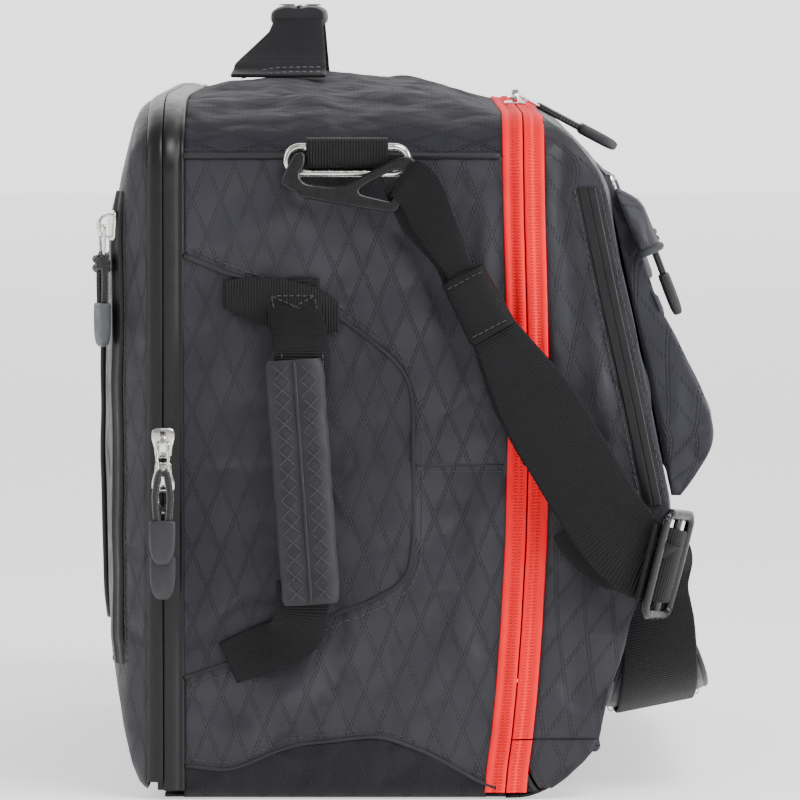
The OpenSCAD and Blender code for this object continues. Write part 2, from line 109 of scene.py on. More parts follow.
class Finish:
    """A Principled material with colour, roughness and bump built from nodes."""

    def __init__(self, name, colour, rough, **sockets):
        self.mat = bpy.data.materials.new(name)
        self.mat.use_nodes = True
        self.tree = self.mat.node_tree
        self.shader = self.tree.nodes["Principled BSDF"]
        self.rgb, self.height, self.base = None, None, colour
        self.shader.inputs["Base Color"].default_value = colour
        self.shader.inputs["Roughness"].default_value = rough
        for key, value in sockets.items():
            self.shader.inputs[key.replace("_", " ")].default_value = value

    def coords(self, kind="UV"):
        """X, Y and Z of the surface, in millimetres."""
        where = self.tree.nodes.new("ShaderNodeTexCoord")
        scale = self.tree.nodes.new("ShaderNodeVectorMath")
        scale.operation = "SCALE"
        scale.inputs["Scale"].default_value = 1000
        self.tree.links.new(where.outputs[kind], scale.inputs[0])
        parts = self.tree.nodes.new("ShaderNodeSeparateXYZ")
        self.tree.links.new(scale.outputs[0], parts.inputs[0])
        return [Val(self.tree, s) for s in parts.outputs]

    def noise(self, size, detail=2.0):
        """Noise from 0 to 1 whose blobs are about size millimetres across."""
        where = self.tree.nodes.new("ShaderNodeTexCoord")
        node = self.tree.nodes.new("ShaderNodeTexNoise")
        self.tree.links.new(where.outputs["Object"], node.inputs["Vector"])
        node.inputs["Scale"].default_value = 1000 / size
        node.inputs["Detail"].default_value = detail
        return Val(self.tree, node.outputs["Fac"])

    def tint(self, amount, colour):
        """Mixes the colour towards another by a value from 0 to 1."""
        node = self.tree.nodes.new("ShaderNodeMix")
        node.data_type = "RGBA"
        self.tree.links.new(amount.socket, node.inputs[0])
        if self.rgb is None:
            node.inputs[6].default_value = self.base
        else:
            self.tree.links.new(self.rgb, node.inputs[6])
        node.inputs[7].default_value = colour
        self.rgb = node.outputs[2]
        self.tree.links.new(self.rgb, self.shader.inputs["Base Color"])
        return self

    def rough(self, value):
        self.tree.links.new(value.socket, self.shader.inputs["Roughness"])
        return self

    def bump(self, height, depth, strength=1.0):
        """Adds relief: height is from 0 to 1, and depth is its size in millimetres."""
        node = self.tree.nodes.new("ShaderNodeBump")
        node.inputs["Strength"].default_value = strength
        node.inputs["Distance"].default_value = depth * MM
        self.tree.links.new(height.socket, node.inputs["Height"])
        if self.height is not None:
            self.tree.links.new(self.height, node.inputs["Normal"])
        self.height = node.outputs["Normal"]
        self.tree.links.new(self.height, self.shader.inputs["Normal"])
        return self


def times(colour, k):
    return tuple(c * k for c in colour[:3]) + (1.0,)


def twill(finish, u, v, depth=0.1):
    """A fine diagonal weave with a little unevenness."""
    line = ((u * 1.6 + v * 0.9) * 3.1).sin() * 0.5 + 0.5
    finish.bump(line * 0.6 + finish.noise(0.9, 3) * 0.8, depth, 0.6)
    return finish


def net_fabric(name, colour, rough=0.52, gloss=0.26):
    """Coated twill embossed with a net of tall diamonds drawn in two dashed lines."""
    f = Finish(name, colour, rough, Sheen_Weight=0.03, Sheen_Roughness=0.4, Specular_IOR_Level=gloss)
    u, v, _ = f.coords()
    across, along = u * (1 / 13.3), v * (1 / 33.0)
    marks = None
    for one, other in ((across + along, across - along), (across - along, across + along)):
        away = (one.frac() - 0.5).abs() * 12.3
        line = (away - 0.62).abs().fit(0.16, 0.42, 1, 0)
        dash = ((other * 8.0).frac() - 0.5).abs().fit(0.20, 0.32, 1, 0)
        mark = line * dash
        marks = mark if marks is None else marks.max(mark)
    f.tint(f.noise(60, 3).fit(0.35, 0.7) * 0.35, times(colour, 1.35))
    # The diamond net is the fabric's own embossed pattern; darkening it in its pressed grooves is painted shade.
    f.tint(marks * 0.5, times(colour, 0.5))
    f.rough(f.noise(14, 4).fit(0.3, 0.75, rough - 0.1, rough + 0.06) + marks * 0.1)
    twill(f, u, v)
    f.bump((f.noise(70, 2) - 0.5).abs().fit(0.0, 0.07), 1.6, 0.55)
    f.bump((f.noise(34, 2) - 0.5).abs().fit(0.0, 0.09), 0.7, 0.45)
    f.bump(1 - marks, 0.5, 1.0)
    return f.mat


def ribbed(name, colour, rib=1.35, rough=0.6, depth=0.3):
    """Webbing with ribs across it and a fine yarn along it."""
    f = Finish(name, colour, rough, Sheen_Weight=0.02, Sheen_Roughness=0.5, Specular_IOR_Level=0.2)
    u, v, _ = f.coords()
    rib_wave = (v * (2 * math.pi / rib)).sin() * 0.5 + 0.5
    yarn = ((u * (2 * math.pi / 0.9)).sin()) * 0.5 + 0.5
    f.tint(f.noise(30, 3).fit(0.35, 0.7) * 0.4, times(colour, 1.5))
    # Painted shade: the webbing is darker in the valleys between the ribs, where the rib bump is low.
    f.tint((1 - rib_wave) * 0.45, times(colour, 0.45))
    f.bump(rib_wave * 0.8 + yarn * 0.3, depth)
    f.bump(f.noise(0.7, 2), 0.08, 0.5)
    return f.mat


def plain_cloth(name, colour, rough=0.6, depth=0.12, sheen=0.06):
    f = Finish(name, colour, rough, Sheen_Weight=sheen, Sheen_Roughness=0.5, Specular_IOR_Level=0.32)
    u, v, _ = f.coords()
    f.tint(f.noise(45, 3).fit(0.3, 0.7) * 0.4, times(colour, 1.4))
    f.rough(f.noise(9, 3).fit(0.3, 0.7, rough - 0.06, rough + 0.08))
    return twill(f, u, v, depth).mat


def knit(name, colour):
    """Spacer mesh: rows of small open cells."""
    f = Finish(name, colour, 0.7, Sheen_Weight=0.25, Specular_IOR_Level=0.3)
    u, v, _ = f.coords()
    cell = ((u * (2 * math.pi / 2.1)).sin() * (v * (2 * math.pi / 1.7)).sin()).abs()
    # Painted shade: the open cells, bumped down as holes, are painted darker.
    f.tint(cell.fit(0.25, 0.7) * 0.7, times(colour, 0.3))
    f.tint(f.noise(30, 2).fit(0.4, 0.7) * 0.3, times(colour, 1.6))
    f.bump(1 - cell, 0.7)
    return f.mat


def red_tape(name, colour):
    """Zip tape with a fine weave and ladder stitches in two rows, and the closed edge in the middle."""
    f = Finish(name, colour, 0.7, Specular_IOR_Level=0.08)
    u, v, _ = f.coords()
    rung = ((v * (1 / 1.5)).frac() - 0.5).abs().fit(0.14, 0.3, 1, 0)
    rows = (u.abs() - 5.4).abs().fit(0.7, 1.0, 1, 0).max((u.abs() - 2.9).abs().fit(0.7, 1.0, 1, 0))
    weave = ((u.abs() * 2.4 + v * 4.2).sin()) * 0.5 + 0.5
    f.tint(f.noise(25, 2).fit(0.35, 0.7) * 0.3, (0.66, 0.002, 0.009, 1))
    # In the stitch rows the low gaps between rungs get painted shade, and the raised rungs get a painted highlight.
    f.tint((1 - rung) * rows * 0.45, (0.42, 0.001, 0.001, 1))
    f.tint(rung * rows * 0.35, (1.0, 0.03, 0.03, 1))
    f.tint(u.abs().fit(0.22, 0.42, 1, 0) * 0.8, (0.14, 0.001, 0.008, 1))
    f.bump(weave * 0.35 + f.noise(0.8, 2) * 0.4, 0.1, 0.6)
    f.bump(rung * rows + (1 - rows) * 0.35, 0.3, 0.8)
    return f.mat


def coated_tape(name, colour):
    """Water-repellent zip tape: a glossy film over a fine cross weave."""
    f = Finish(name, colour, 0.4, Specular_IOR_Level=0.36, Coat_Weight=0.04, Coat_Roughness=0.3)
    u, v, _ = f.coords()
    f.tint(f.noise(35, 3).fit(0.35, 0.7) * 0.4, times(colour, 1.6))
    f.rough(f.noise(5, 4).fit(0.25, 0.75, 0.36, 0.5))
    rib = (v * (2 * math.pi / 1.3)).sin() * 0.5 + 0.5
    f.bump(rib * 0.5 + f.noise(1.4, 3) * 0.6, 0.07, 0.5)
    f.bump(u.abs().fit(0.2, 0.6), 0.5)
    return f.mat


def metal(name, colour, rough, **more):
    f = Finish(name, colour, rough, Metallic=1.0, **more)
    f.tint(f.noise(8, 4).fit(0.45, 0.75) * 0.35, times(colour, 0.72))
    f.rough(f.noise(2.5, 4).fit(0.3, 0.8, rough - 0.06, rough + 0.14))
    return f.bump(f.noise(1.1, 3), 0.015, 0.3).mat


def moulded(name, colour, rough, grain=0.7, depth=0.06, **more):
    f = Finish(name, colour, rough, **more)
    f.tint(f.noise(7, 3).fit(0.4, 0.7) * 0.4, times(colour, 1.5))
    f.rough(f.noise(3, 4).fit(0.3, 0.75, rough - 0.07, rough + 0.12))
    return f.bump(f.noise(grain, 3), depth, 0.6).mat


def braid(name, colour):
    f = Finish(name, colour, 0.6, Sheen_Weight=0.3, Specular_IOR_Level=0.35)
    u, v, _ = f.coords()
    turn = 2 * math.pi / 3.4
    plait = ((u * turn * 1.0 + v * turn).sin() * (u * turn - v * turn).sin()) * 0.5 + 0.5
    # Painted highlight: the raised strands of the plait are lightened.
    f.tint(plait * 0.6, times(colour, 2.4))
    return f.bump(plait, 0.55).mat


def thread_mat(name, colour):
    f = Finish(name, colour, 0.55, Sheen_Weight=0.3)
    u, v, _ = f.coords("Object")
    f.tint(f.noise(3, 2).fit(0.3, 0.7) * 0.5, times(colour, 0.6))
    return f.bump(f.noise(0.5, 2), 0.1).mat


BODY = net_fabric("body_fabric", srgb(42, 42, 47))
# The top cloth is a darker copy of the body fabric: painted shade, set against the stronger light that falls on the
# top.
BODY_TOP_PAINTED_SHADE = net_fabric("top_fabric_painted_shade", srgb(40, 40, 45), 0.72, 0.08)
BASE = net_fabric("base_fabric", srgb(15, 15, 19))
PATCH = net_fabric("patch_fabric", srgb(37, 37, 42))
POCKET = net_fabric("pocket_fabric", srgb(46, 46, 52))
LINING = plain_cloth("lining", srgb(40, 41, 46), 0.65, 0.06, 0.05)
WRAP = plain_cloth("grip_wrap", srgb(31, 31, 34))
WEB = ribbed("webbing", srgb(10, 10, 13))
WEB_TOP = ribbed("handle_webbing", srgb(25, 25, 28), 1.1)
RED = red_tape("red_zip", (0.95, 0.004, 0.016, 1))
BLACK_ZIP = coated_tape("coated_zip", srgb(9, 9, 11))
PIPING = plain_cloth("piping", srgb(27, 27, 30), 0.5, 0.05)
NICKEL = metal("nickel", (0.78, 0.76, 0.72, 1), 0.2)
ANODISED = moulded("anodised", srgb(8, 8, 10), 0.3, 0.5, 0.006, Specular_IOR_Level=0.4)
GLIDE = moulded("glide_plastic", srgb(9, 9, 11), 0.26, Specular_IOR_Level=0.4)
RUBBER = moulded("pull_rubber", srgb(34, 34, 37), 0.5)
RUBBER_GREY = moulded("pull_rubber_grey", srgb(72, 73, 77), 0.5)
CORD = braid("cord", srgb(18, 18, 20))
PAD_TOP = plain_cloth("pad_cover", srgb(44, 45, 49), 0.45)
PAD_MESH = knit("pad_mesh", srgb(42, 42, 46))
THREAD = thread_mat("thread_dark", srgb(19, 19, 21))
THREAD_LIGHT = thread_mat("thread_light", srgb(84, 84, 92))
BOARD = plain_cloth("board_cover", srgb(36, 37, 41), 0.7)


# ---------------------------------------------------------------- mesh tools
class Piece:
    """Collects geometry in millimetres and makes one object of it."""

    def __init__(self, name, mats):
        self.name, self.mats = name, mats
        self.v, self.f, self.uv, self.m = [], [], [], []
        self.count = 0

    def add(self, part, mat=0):
        v, f, uv = part
        self.v.append(np.asarray(v, float))
        self.uv.append(np.asarray(uv, float))
        self.f.extend(tuple(i + self.count for i in q) for q in f)
        self.m.extend([mat] * len(f) if np.isscalar(mat) else mat)
        self.count += len(v)
        return self

    def make(self, body, replaces=(), slot=None, thick=0.0):
        v, uv = np.concatenate(self.v), np.concatenate(self.uv)
        mesh = bpy.data.meshes.new(self.name)
        mesh.from_pydata((v * MM).tolist(), [], self.f)
        layer = mesh.uv_layers.new(name="mm")
        index = np.zeros(len(mesh.loops), np.int32)
        mesh.loops.foreach_get("vertex_index", index)
        layer.data.foreach_set("uv", (uv[index] * MM).ravel())
        for m in self.mats:
            mesh.materials.append(m)
        mesh.polygons.foreach_set("material_index", np.array(self.m, np.int32))
        mesh.polygons.foreach_set("use_smooth", np.full(len(self.f), True))
        mesh.validate()
        obj = bpy.data.objects.new(self.name, mesh)
        bpy.context.scene.collection.objects.link(obj)
        if thick:
            mod = obj.modifiers.new("wall", "SOLIDIFY")
            mod.thickness, mod.offset = thick * MM, -1
            mod.material_offset = 1 if len(self.mats) > 1 else 0
            mod.material_offset_rim = 0
        if body:
            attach(obj, body)
        if replaces:
            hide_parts(*replaces)
        return obj


def quads(nu, nv, wrap=False):
    """The faces of a grid of nu by nv points; wrap joins its last column to its first."""
    out = []
    for i in range(nu - 1):
        for j in range(nv if wrap else nv - 1):
            k = (j + 1) % nv
            out.append((i * nv + j, i * nv + k, (i + 1) * nv + k, (i + 1) * nv + j))
    return out


def steps(p):
    """Distance along each line of points, down the first axis."""
    d = np.linalg.norm(np.diff(p, axis=0), axis=-1)
    return np.concatenate([np.zeros((1,) + d.shape[1:]), np.cumsum(d, axis=0)])


def sheet(p, uv=None, outward=None):
    """A grid of points as a surface, facing the given way."""
    if uv is None:
        uv = np.stack([steps(p.transpose(1, 0, 2)).T, steps(p)], axis=-1)
    flat, faces = p.reshape(-1, 3), quads(*p.shape[:2])
    if outward is not None:
        a, b, c = (flat[[face[k] for face in faces]] for k in (0, 1, 2))
        if np.dot(np.cross(b - a, c - a).sum(0), outward) < 0:
            faces = [face[::-1] for face in faces]
    return flat, faces, uv.reshape(-1, 2)


def normals(p, outward):
    """Unit normals of a grid, on the side that outward points to."""
    n = unit(np.cross(np.gradient(p, axis=0), np.gradient(p, axis=1)))
    return n * np.sign((n.reshape(-1, 3).sum(0) @ np.asarray(outward)) or 1)


def facing(part, mids):
    """Turns a part's faces so that they face away from the bag's middle."""
    v, f, uv = part
    arr = np.array([q[:3] for q in f])
    n = np.cross(v[arr[:, 1]] - v[arr[:, 0]], v[arr[:, 2]] - v[arr[:, 0]])
    c = v[arr[:, 0]] - np.asarray(mids)
    if (n * c).sum() < 0:
        f = [q[::-1] for q in f]
    return v, f, uv


def grid_uv(across, along):
    """Flat coordinates of a strip: across its section and along its run."""
    return np.stack(np.broadcast_arrays(np.asarray(across, float)[None], np.asarray(along, float)[:, None]), -1)


def rounded_box(ang, wide, high, wide_power, high_power):
    """The two coordinates of a soft-cornered oval, at angles round it."""
    c, s = np.cos(ang), np.sin(ang)
    return np.sign(c) * np.abs(c) ** wide_power * wide, np.sign(s) * np.abs(s) ** high_power * high


def curve(points, n):
    """A smooth curve through points, sampled evenly."""
    p = np.asarray(points, float)
    q = np.vstack([2 * p[0] - p[1], p, 2 * p[-1] - p[-2]])
    out = []
    for i in range(1, len(q) - 2):
        t = np.linspace(0, 1, 24, endpoint=False)[:, None]
        a, b, c, d = q[i - 1 : i + 3]
        out.append(0.5 * (2 * b + (c - a) * t + (2 * a - 5 * b + 4 * c - d) * t**2 + (3 * b - a - 3 * c + d) * t**3))
    out = np.vstack([*out, q[-2][None]])
    s = steps(out)
    at = np.linspace(0, s[-1], n)
    return np.stack([np.interp(at, s, out[:, k]) for k in range(p.shape[1])], axis=-1)


def unit(v):
    return v / np.maximum(np.linalg.norm(v, axis=-1, keepdims=True), 1e-9)


def frames(p):
    """Tangent and two side directions along a path, without twist."""
    t = unit(np.gradient(p, axis=0))
    first = np.cross(t[0], [0.31, 0.17, 0.93])
    side = [first / np.linalg.norm(first)]
    for i in range(1, len(p)):
        s = side[-1] - t[i] * np.dot(side[-1], t[i])
        side.append(s / max(np.linalg.norm(s), 1e-9))
    side = np.array(side)
    return t, side, np.cross(side, t)


def tube(p, r, n=10, caps=True):
    """A round cord along a path; r may change along it."""
    p = np.asarray(p, float)
    _, a, b = frames(p)
    r = np.broadcast_to(r, (len(p),))[:, None, None]
    ang = np.linspace(0, 2 * math.pi, n + 1)
    ring = np.cos(ang)[None, :, None] * a[:, None] + np.sin(ang)[None, :, None] * b[:, None]
    v = p[:, None] + ring * r
    s = steps(p)
    uv = np.stack(np.broadcast_arrays(ang[None, :] * r[:, :, 0], s[:, None]), axis=-1)
    f = quads(len(p), n + 1)
    flat, uv = v.reshape(-1, 3), uv.reshape(-1, 2)
    if caps:
        k = len(flat)
        flat = np.vstack([flat, p[0], p[-1]])
        uv = np.vstack([uv, [0, 0], [0, s[-1]]])
        last = (len(p) - 1) * (n + 1)
        f = f + [(k, j + 1, j) for j in range(n)] + [(k + 1, last + j, last + j + 1) for j in range(n)]
    return flat, f, uv


def ribbon(p, side, width, thick):
    """Flat webbing along a path. side is the direction of its width at each point."""
    p = np.asarray(p, float)
    n = len(p)
    side = np.broadcast_to(np.asarray(side, float), (n, 3))
    side = side / np.linalg.norm(side, axis=-1, keepdims=True)
    up = unit(np.cross(side, unit(np.gradient(p, axis=0))))
    w = np.broadcast_to(width, (n,)) / 2
    h = np.broadcast_to(thick, (n,)) / 2
    c = np.array([(-1, 0), (-0.985, 0.7), (-0.93, 1), (-0.4, 1), (0.4, 1), (0.93, 1), (0.985, 0.7), (1, 0),
             (0.985, -0.7), (0.93, -1), (0.4, -1), (-0.4, -1), (-0.93, -1), (-0.985, -0.7), (-1, 0)])
    v = (p[:, None] + side[:, None] * (c[:, 0] * w[:, None])[..., None]
         + up[:, None] * (c[:, 1] * h[:, None])[..., None])
    s = steps(p)
    uv = np.stack([np.broadcast_to(c[:, 0] * w[:, None], (n, len(c))), np.broadcast_to(s[:, None], (n, len(c)))], -1)
    m = len(c)
    f = quads(n, m) + [tuple(range(m - 2, -1, -1)), tuple((n - 1) * m + j for j in range(m - 1))]
    return v.reshape(-1, 3), f, uv.reshape(-1, 2)


def stitches(p, lift, length, gap, r):
    """A row of short raised threads along a path, lifted off the surface by lift."""
    p = np.asarray(p, float)
    s = steps(p)
    lift = np.broadcast_to(np.asarray(lift, float), p.shape)
    starts = np.arange(0.4, s[-1] - length, length + gap)
    at = lambda x, a: np.stack([np.interp(x, s, a[:, k]) for k in range(3)], -1)
    a, b, up = at(starts, p), at(starts + length, p), at(starts + length / 2, lift)
    return threads(a, b, up, r)


def threads(a, b, up, r):
    """Separate threads from each a to each b, bowed a little towards up."""
    along = b - a
    d = unit(along)
    side = unit(np.cross(d, up))
    top = np.cross(side, d)
    rings = [(0.0, 0.15, 0.0), (0.12, 0.8, 0.35), (0.5, 1.0, 0.6), (0.88, 0.8, 0.35), (1.0, 0.15, 0.0)]
    ang = np.arange(6) * math.pi / 3
    v = np.stack([
        a[:, None] + along[:, None] * t + top[:, None] * (h * r)
        + (side[:, None] * np.cos(ang)[None, :, None] + top[:, None] * np.sin(ang)[None, :, None]) * (r * k)
        for t, k, h in rings], axis=1)
    base = [(i * 6 + j, i * 6 + (j + 1) % 6, (i + 1) * 6 + (j + 1) % 6,
             (i + 1) * 6 + j) for i in range(4) for j in range(6)]
    f = [tuple(q + k * 30 for q in face) for k in range(len(a)) for face in base]
    flat = v.reshape(-1, 3)
    return flat, f, np.zeros((len(flat), 2))


def zigzag(p, side, width, pitch, lift, r):
    """Zigzag stitching along a path."""
    p = np.asarray(p, float)
    s = steps(p)
    n = max(2, int(s[-1] / pitch))
    x = np.linspace(0, s[-1], n + 1)
    at = np.stack([np.interp(x, s, p[:, k]) for k in range(3)], -1)
    side = np.asarray(side, float)
    at = at + side[None] * (np.where(np.arange(n + 1) % 2, 0.5, -0.5) * width)[:, None]
    up = np.broadcast_to(np.asarray(lift, float), (n, 3))
    return threads(at[:-1], at[1:], up, r)


def cross_stitch(p, side, width, lift, r):
    """A box with a cross in it, as sewn on webbing ends: p is its two end points."""
    a, b = np.asarray(p, float)
    w = np.asarray(side, float) * width / 2
    corners = [a - w, a + w, b + w, b - w]
    lines = [(0, 1), (1, 2), (2, 3), (3, 0), (0, 2), (1, 3)]
    return [stitches(np.array([corners[i], corners[j]]), lift, 2.2, 0.8, r) for i, j in lines]


def wob(a, b, size, seed, n=7):
    """Smooth unevenness from about -1 to 1, with hills about size apart."""
    rng = np.random.RandomState(seed)
    out = np.zeros(np.broadcast(a, b).shape)
    for _ in range(n):
        th, ph, k = rng.uniform(0, math.tau), rng.uniform(0, math.tau), rng.uniform(0.6, 1.5) * math.tau / size
        out = out + np.sin((a * math.cos(th) + b * math.sin(th)) * k + ph)
    return out / n**0.5 / 1.3


def fold(a, b, a0, b0, a1, b1, width, depth):
    """A crease or ridge from one place to another, fading at its ends."""
    da, db = a1 - a0, b1 - b0
    length = math.hypot(da, db)
    t = ((a - a0) * da + (b - b0) * db) / length**2
    away = ((a - a0) * db - (b - b0) * da) / length
    ends = np.clip(t * 4, 0, 1) * np.clip((1 - t) * 4, 0, 1)
    return depth * np.exp(-((away / width) ** 2)) * ends * ends * (3 - 2 * ends)


def puff(obj, pinned, pressure, cap):
    """Blows a closed form up as cloth with its seams held, and keeps the result in the mesh."""
    group = obj.vertex_groups.new(name="seams")
    group.add(pinned, 1.0, "REPLACE")
    mod = obj.modifiers.new("cloth", "CLOTH")
    cloth = mod.settings
    cloth.quality, cloth.mass = 6, 0.2
    cloth.use_pressure, cloth.uniform_pressure_force = True, pressure
    cloth.tension_stiffness = cloth.compression_stiffness = 25
    cloth.bending_stiffness = 2.0
    cloth.effector_weights.gravity = 0
    cloth.vertex_group_mass = "seams"
    scene = bpy.context.scene
    mod.point_cache.frame_start, mod.point_cache.frame_end = 1, 20
    for at_frame in range(1, 21):
        scene.frame_set(at_frame)
    shape = obj.evaluated_get(bpy.context.evaluated_depsgraph_get()).to_mesh()
    count = len(obj.data.vertices)
    before, after = np.zeros(count * 3), np.zeros(count * 3)
    obj.data.vertices.foreach_get("co", before)
    shape.vertices.foreach_get("co", after)
    move = (after - before).reshape(-1, 3)
    size = np.linalg.norm(move, axis=1, keepdims=True)
    move *= np.minimum(1, cap * MM / np.maximum(size, 1e-9))
    obj.modifiers.remove(mod)
    obj.vertex_groups.clear()
    obj.data.vertices.foreach_set("co", before + move.ravel())
    obj.data.update()
    scene.frame_set(1)
    mod = obj.modifiers.new("smooth", "SUBSURF")
    mod.levels = mod.render_levels = 1


def smin(a, b, k):
    h = np.clip(0.5 + 0.5 * (b - a) / k, 0, 1)
    return b * (1 - h) + a * h - k * h * (1 - h)


# ---------------------------------------------------------------- the bag's outline
_y = np.arange(-110.0, 101.0)
_roof = np.interp(_y, [-110, -98, -88, -77, -60, -40, -10, 30, 55, 66, 76, 88, 100],
                  [317, 318.2, 318.6, 320.5, 327, 332.5, 336, 335.5, 331, 328, 326, 325.6, 325])
_roof = np.convolve(np.pad(_roof, 5, "edge"), np.hanning(13)[1:-1] / np.hanning(13)[1:-1].sum(), "valid")


def roof(y):
    """Height of the bag's top at its middle, at depth y."""
    return np.interp(y, _y, _roof)


def arch(x):
    return (1 - np.minimum(1, np.abs(x) / HALF) ** 3) ** (1 / 3)


def outline(t, y):
    """The bag's section at depth y: t runs 0 to 1 up the left end, to 3 over the top, to 4 down the right."""
    t, y = np.broadcast_arrays(np.asarray(t, float), np.asarray(y, float))
    ang = np.clip((t - 1) * math.pi / 2, 0, math.pi)
    x = -HALF * np.cos(ang)
    z = SHOULDER + smin(ARCH_RISE * arch(x), roof(y) - SHOULDER, 7)
    z = np.where(t < 1, SHOULDER * t, np.where(t > 3, SHOULDER * (4 - t), z))
    return np.stack([x, y, z], -1)


def main_zip_y(z):
    """The red zip bows a little and leans back at its foot."""
    return -88 + np.interp(z, [0, 14, 30, 50, 80, 120, 170, 230, 275, 300],
                           [8.4, 7.2, 5, 3, 0.8, -1.4, -2.6, -1.6, -0.4, 0])


def full_run(z0, n_end=70, n_top=90):
    up = np.linspace(z0 / SHOULDER, 0.985, n_end)
    ang = 0.5 - 0.5 * np.cos(np.linspace(0, math.pi, n_top))
    return np.concatenate([up, 1 + 2 * ang, 4 - up[::-1]])


def mirror_x(part):
    v, f, uv = part
    return v * np.array([-1, 1, 1]), [q[::-1] for q in f], uv


def same(part):
    return part


SIDES = (("left", -1, same), ("right", 1, mirror_x))


# ---------------------------------------------------------------- zips
CENTRE = (0, 0, 150)


def zip_half(run, centre, side, section):
    """Half of a zip's tape over the outline. section lists distance from the centre and height off the cloth."""
    q = np.array([s[0] for s in section], float)
    h = np.array([s[1] for s in section], float)
    mid = outline(run, -88.0)
    yc = centre(mid[:, 2])
    y = yc[:, None] + side * q[None]
    p = outline(run[:, None], y)
    t = np.gradient(p, axis=0)
    n = unit(np.stack([-t[..., 2], np.zeros(t.shape[:2]), t[..., 0]], -1))
    p = p + n * h[None, :, None]
    return facing(sheet(p, grid_uv(q, steps(mid))), CENTRE)


RED_SECTION = [(9.9, -0.6), (9.7, 0.5), (9.2, 1.0), (8.2, 1.05), (7.2, 1.05), (6.9, 0.8), (5.9, 1.1), (4.9, 0.8),
               (4.6, 1.15), (4.3, 1.5), (3.5, 2.0), (2.5, 2.2), (1.3, 2.15), (0.6, 1.95), (0.2, 1.5), (0.16, -0.8)]
red_body = Piece("main_zip_body_tape", [RED])
red_body.add(zip_half(full_run(3), main_zip_y, 1, RED_SECTION))
for put in (same, mirror_x):
    red_body.add(put(zip_half(np.linspace(3, 27.6, 12) / SHOULDER, main_zip_y, -1, RED_SECTION)))
red_body.make("main_body", ["main_zip_tape_body"], "red_zip")
Piece("main_zip_lid_tape", [RED]).add(zip_half(full_run(28.2), main_zip_y, -1, RED_SECTION)).make(
    "main_lid", ["main_zip_tape_lid"], "red_zip")

BLACK_BODY = [(9.9, -0.6), (9.8, 0.4), (9.3, 1.1), (8.5, 1.3), (7.9, 0.8), (7.3, 0.9), (6.3, 1.6), (5.0, 2.2),
              (3.5, 2.65),
              (1.8, 2.9), (0.4, 2.9), (-0.02, 2.6), (-0.06, 2.2), (-0.08, -0.8)]
BLACK_PANEL = [(7.7, -0.6), (7.55, 0.4), (7.0, 1.1), (6.1, 1.7), (5.0, 2.2), (3.5, 2.65), (1.8, 2.9), (0.5, 2.9),
               (0.2, 2.6),
               (0.17, 2.2), (0.16, -0.8)]


def rear_zip_y(z):
    return np.full(np.shape(z), 80.0)


rear_tape = Piece("rear_zip_body_tape", [BLACK_ZIP])
for section in (BLACK_BODY, [(2.6, -1.5), (2.6, -1.1), (-3.0, -1.1), (-3.0, -1.5)]):
    rear_tape.add(zip_half(full_run(4), rear_zip_y, -1, section))
rear_tape.make("main_body", ["rear_zip_tape_body"], "black_zip")
Piece("rear_zip_panel_tape", [BLACK_ZIP]).add(zip_half(full_run(8), rear_zip_y, 1, BLACK_PANEL)).make(
    "rear_panel", ["rear_zip_tape_panel"], "black_zip")

# ---------------------------------------------------------------- main body panels
TOP_SEAM = 301.0
_seam_y = np.arange(-100.0, 101.0)
_seam = np.interp(_seam_y, [-86, -69, -45, -21, 21, 50, 71], [2, 7, 21, 30, 25, 13, 16])
_seam = np.convolve(np.pad(_seam, 12, "edge"), np.hanning(27)[1:-1] / 13, "valid")


def base_seam_z(y):
    """The base cloth turns up over the foot of each end in a shallow wave."""
    return np.interp(y, _seam_y, _seam)


def end_bulge(y, z):
    """How far the end's cloth stands out, with its folds. Zero at the seams."""
    edge = np.clip((y + 80) / 26, 0, 1) * np.clip((71 - y) / 22, 0, 1) * np.clip((z - 3) / 30, 0,
        1) * np.clip((TOP_SEAM - z) / 34, 0, 1)
    soft = edge * edge * (3 - 2 * edge)
    d = 1.1 * soft + 0.9 * soft * wob(y, z, 62, 3) + 0.55 * soft * wob(y, z, 26, 4)
    for args in [
        (-44, 285, -60, 190, 7, -1.5), (-72, 292, -66, 175, 5, 1.2), (-30, 268, -46, 215, 6, 1.1),
        (-8, 280, -40, 236, 5, 1.0), (-20, 262, 6, 236, 6, -1.0), (30, 292, 10, 262, 5, 0.9),
        (-74, 160, -58, 60, 8, 1.3), (-52, 140, -72, 60, 6, -1.2), (-38, 90, -70, 30, 7, -1.2),
        (50, 24, -20, 84, 8, 1.7), (42, 16, -8, 64, 6, -1.5), (62, 62, -10, 40, 7, 1.2), (66, 46, 0, 24, 6, -1.1),
        (40, 290, 62, 262, 6, -1.0),
        (10, 284, 40, 262, 7, 0.9), (-6, 82, 50, 70, 6, -1.1), (-50, 155, -82, 154, 4, -0.9),
    ]:
        d = d + 1.5 * fold(y, z, *args) * np.clip(edge * 3, 0, 1)
    return d


def half_width(z):
    """Half the bag's width at a height, narrowing under the arched top."""
    k = np.clip((z - SHOULDER) / ARCH_RISE, 0, 1)
    return HALF * (1 - k**3) ** (1 / 3)


def on_end(y, z, lift=0.0):
    """Points on the left end's cloth."""
    y, z = np.broadcast_arrays(np.asarray(y, float), np.asarray(z, float))
    return np.stack([-half_width(np.minimum(z, TOP_SEAM)) - end_bulge(y, z) - lift, y, z], -1)


def end_grid(y0, y1, z0, z1, nu, nv):
    """A patch of the left end between curves y0(z), y1(z) and z0(y), z1(y)."""
    u, w = np.meshgrid(np.linspace(0, 1, nu), np.linspace(0, 1, nv), indexing="ij")
    y = y0(0) * (1 - w) + y1(0) * w
    for _ in range(3):
        z = z0(y) * (1 - u) + z1(y) * u
        y = y0(z) * (1 - w) + y1(z) * w
    return y, z


def constant(value):
    """A boundary for end_grid that stays at one value."""
    return lambda other: np.full(np.shape(other), float(value))


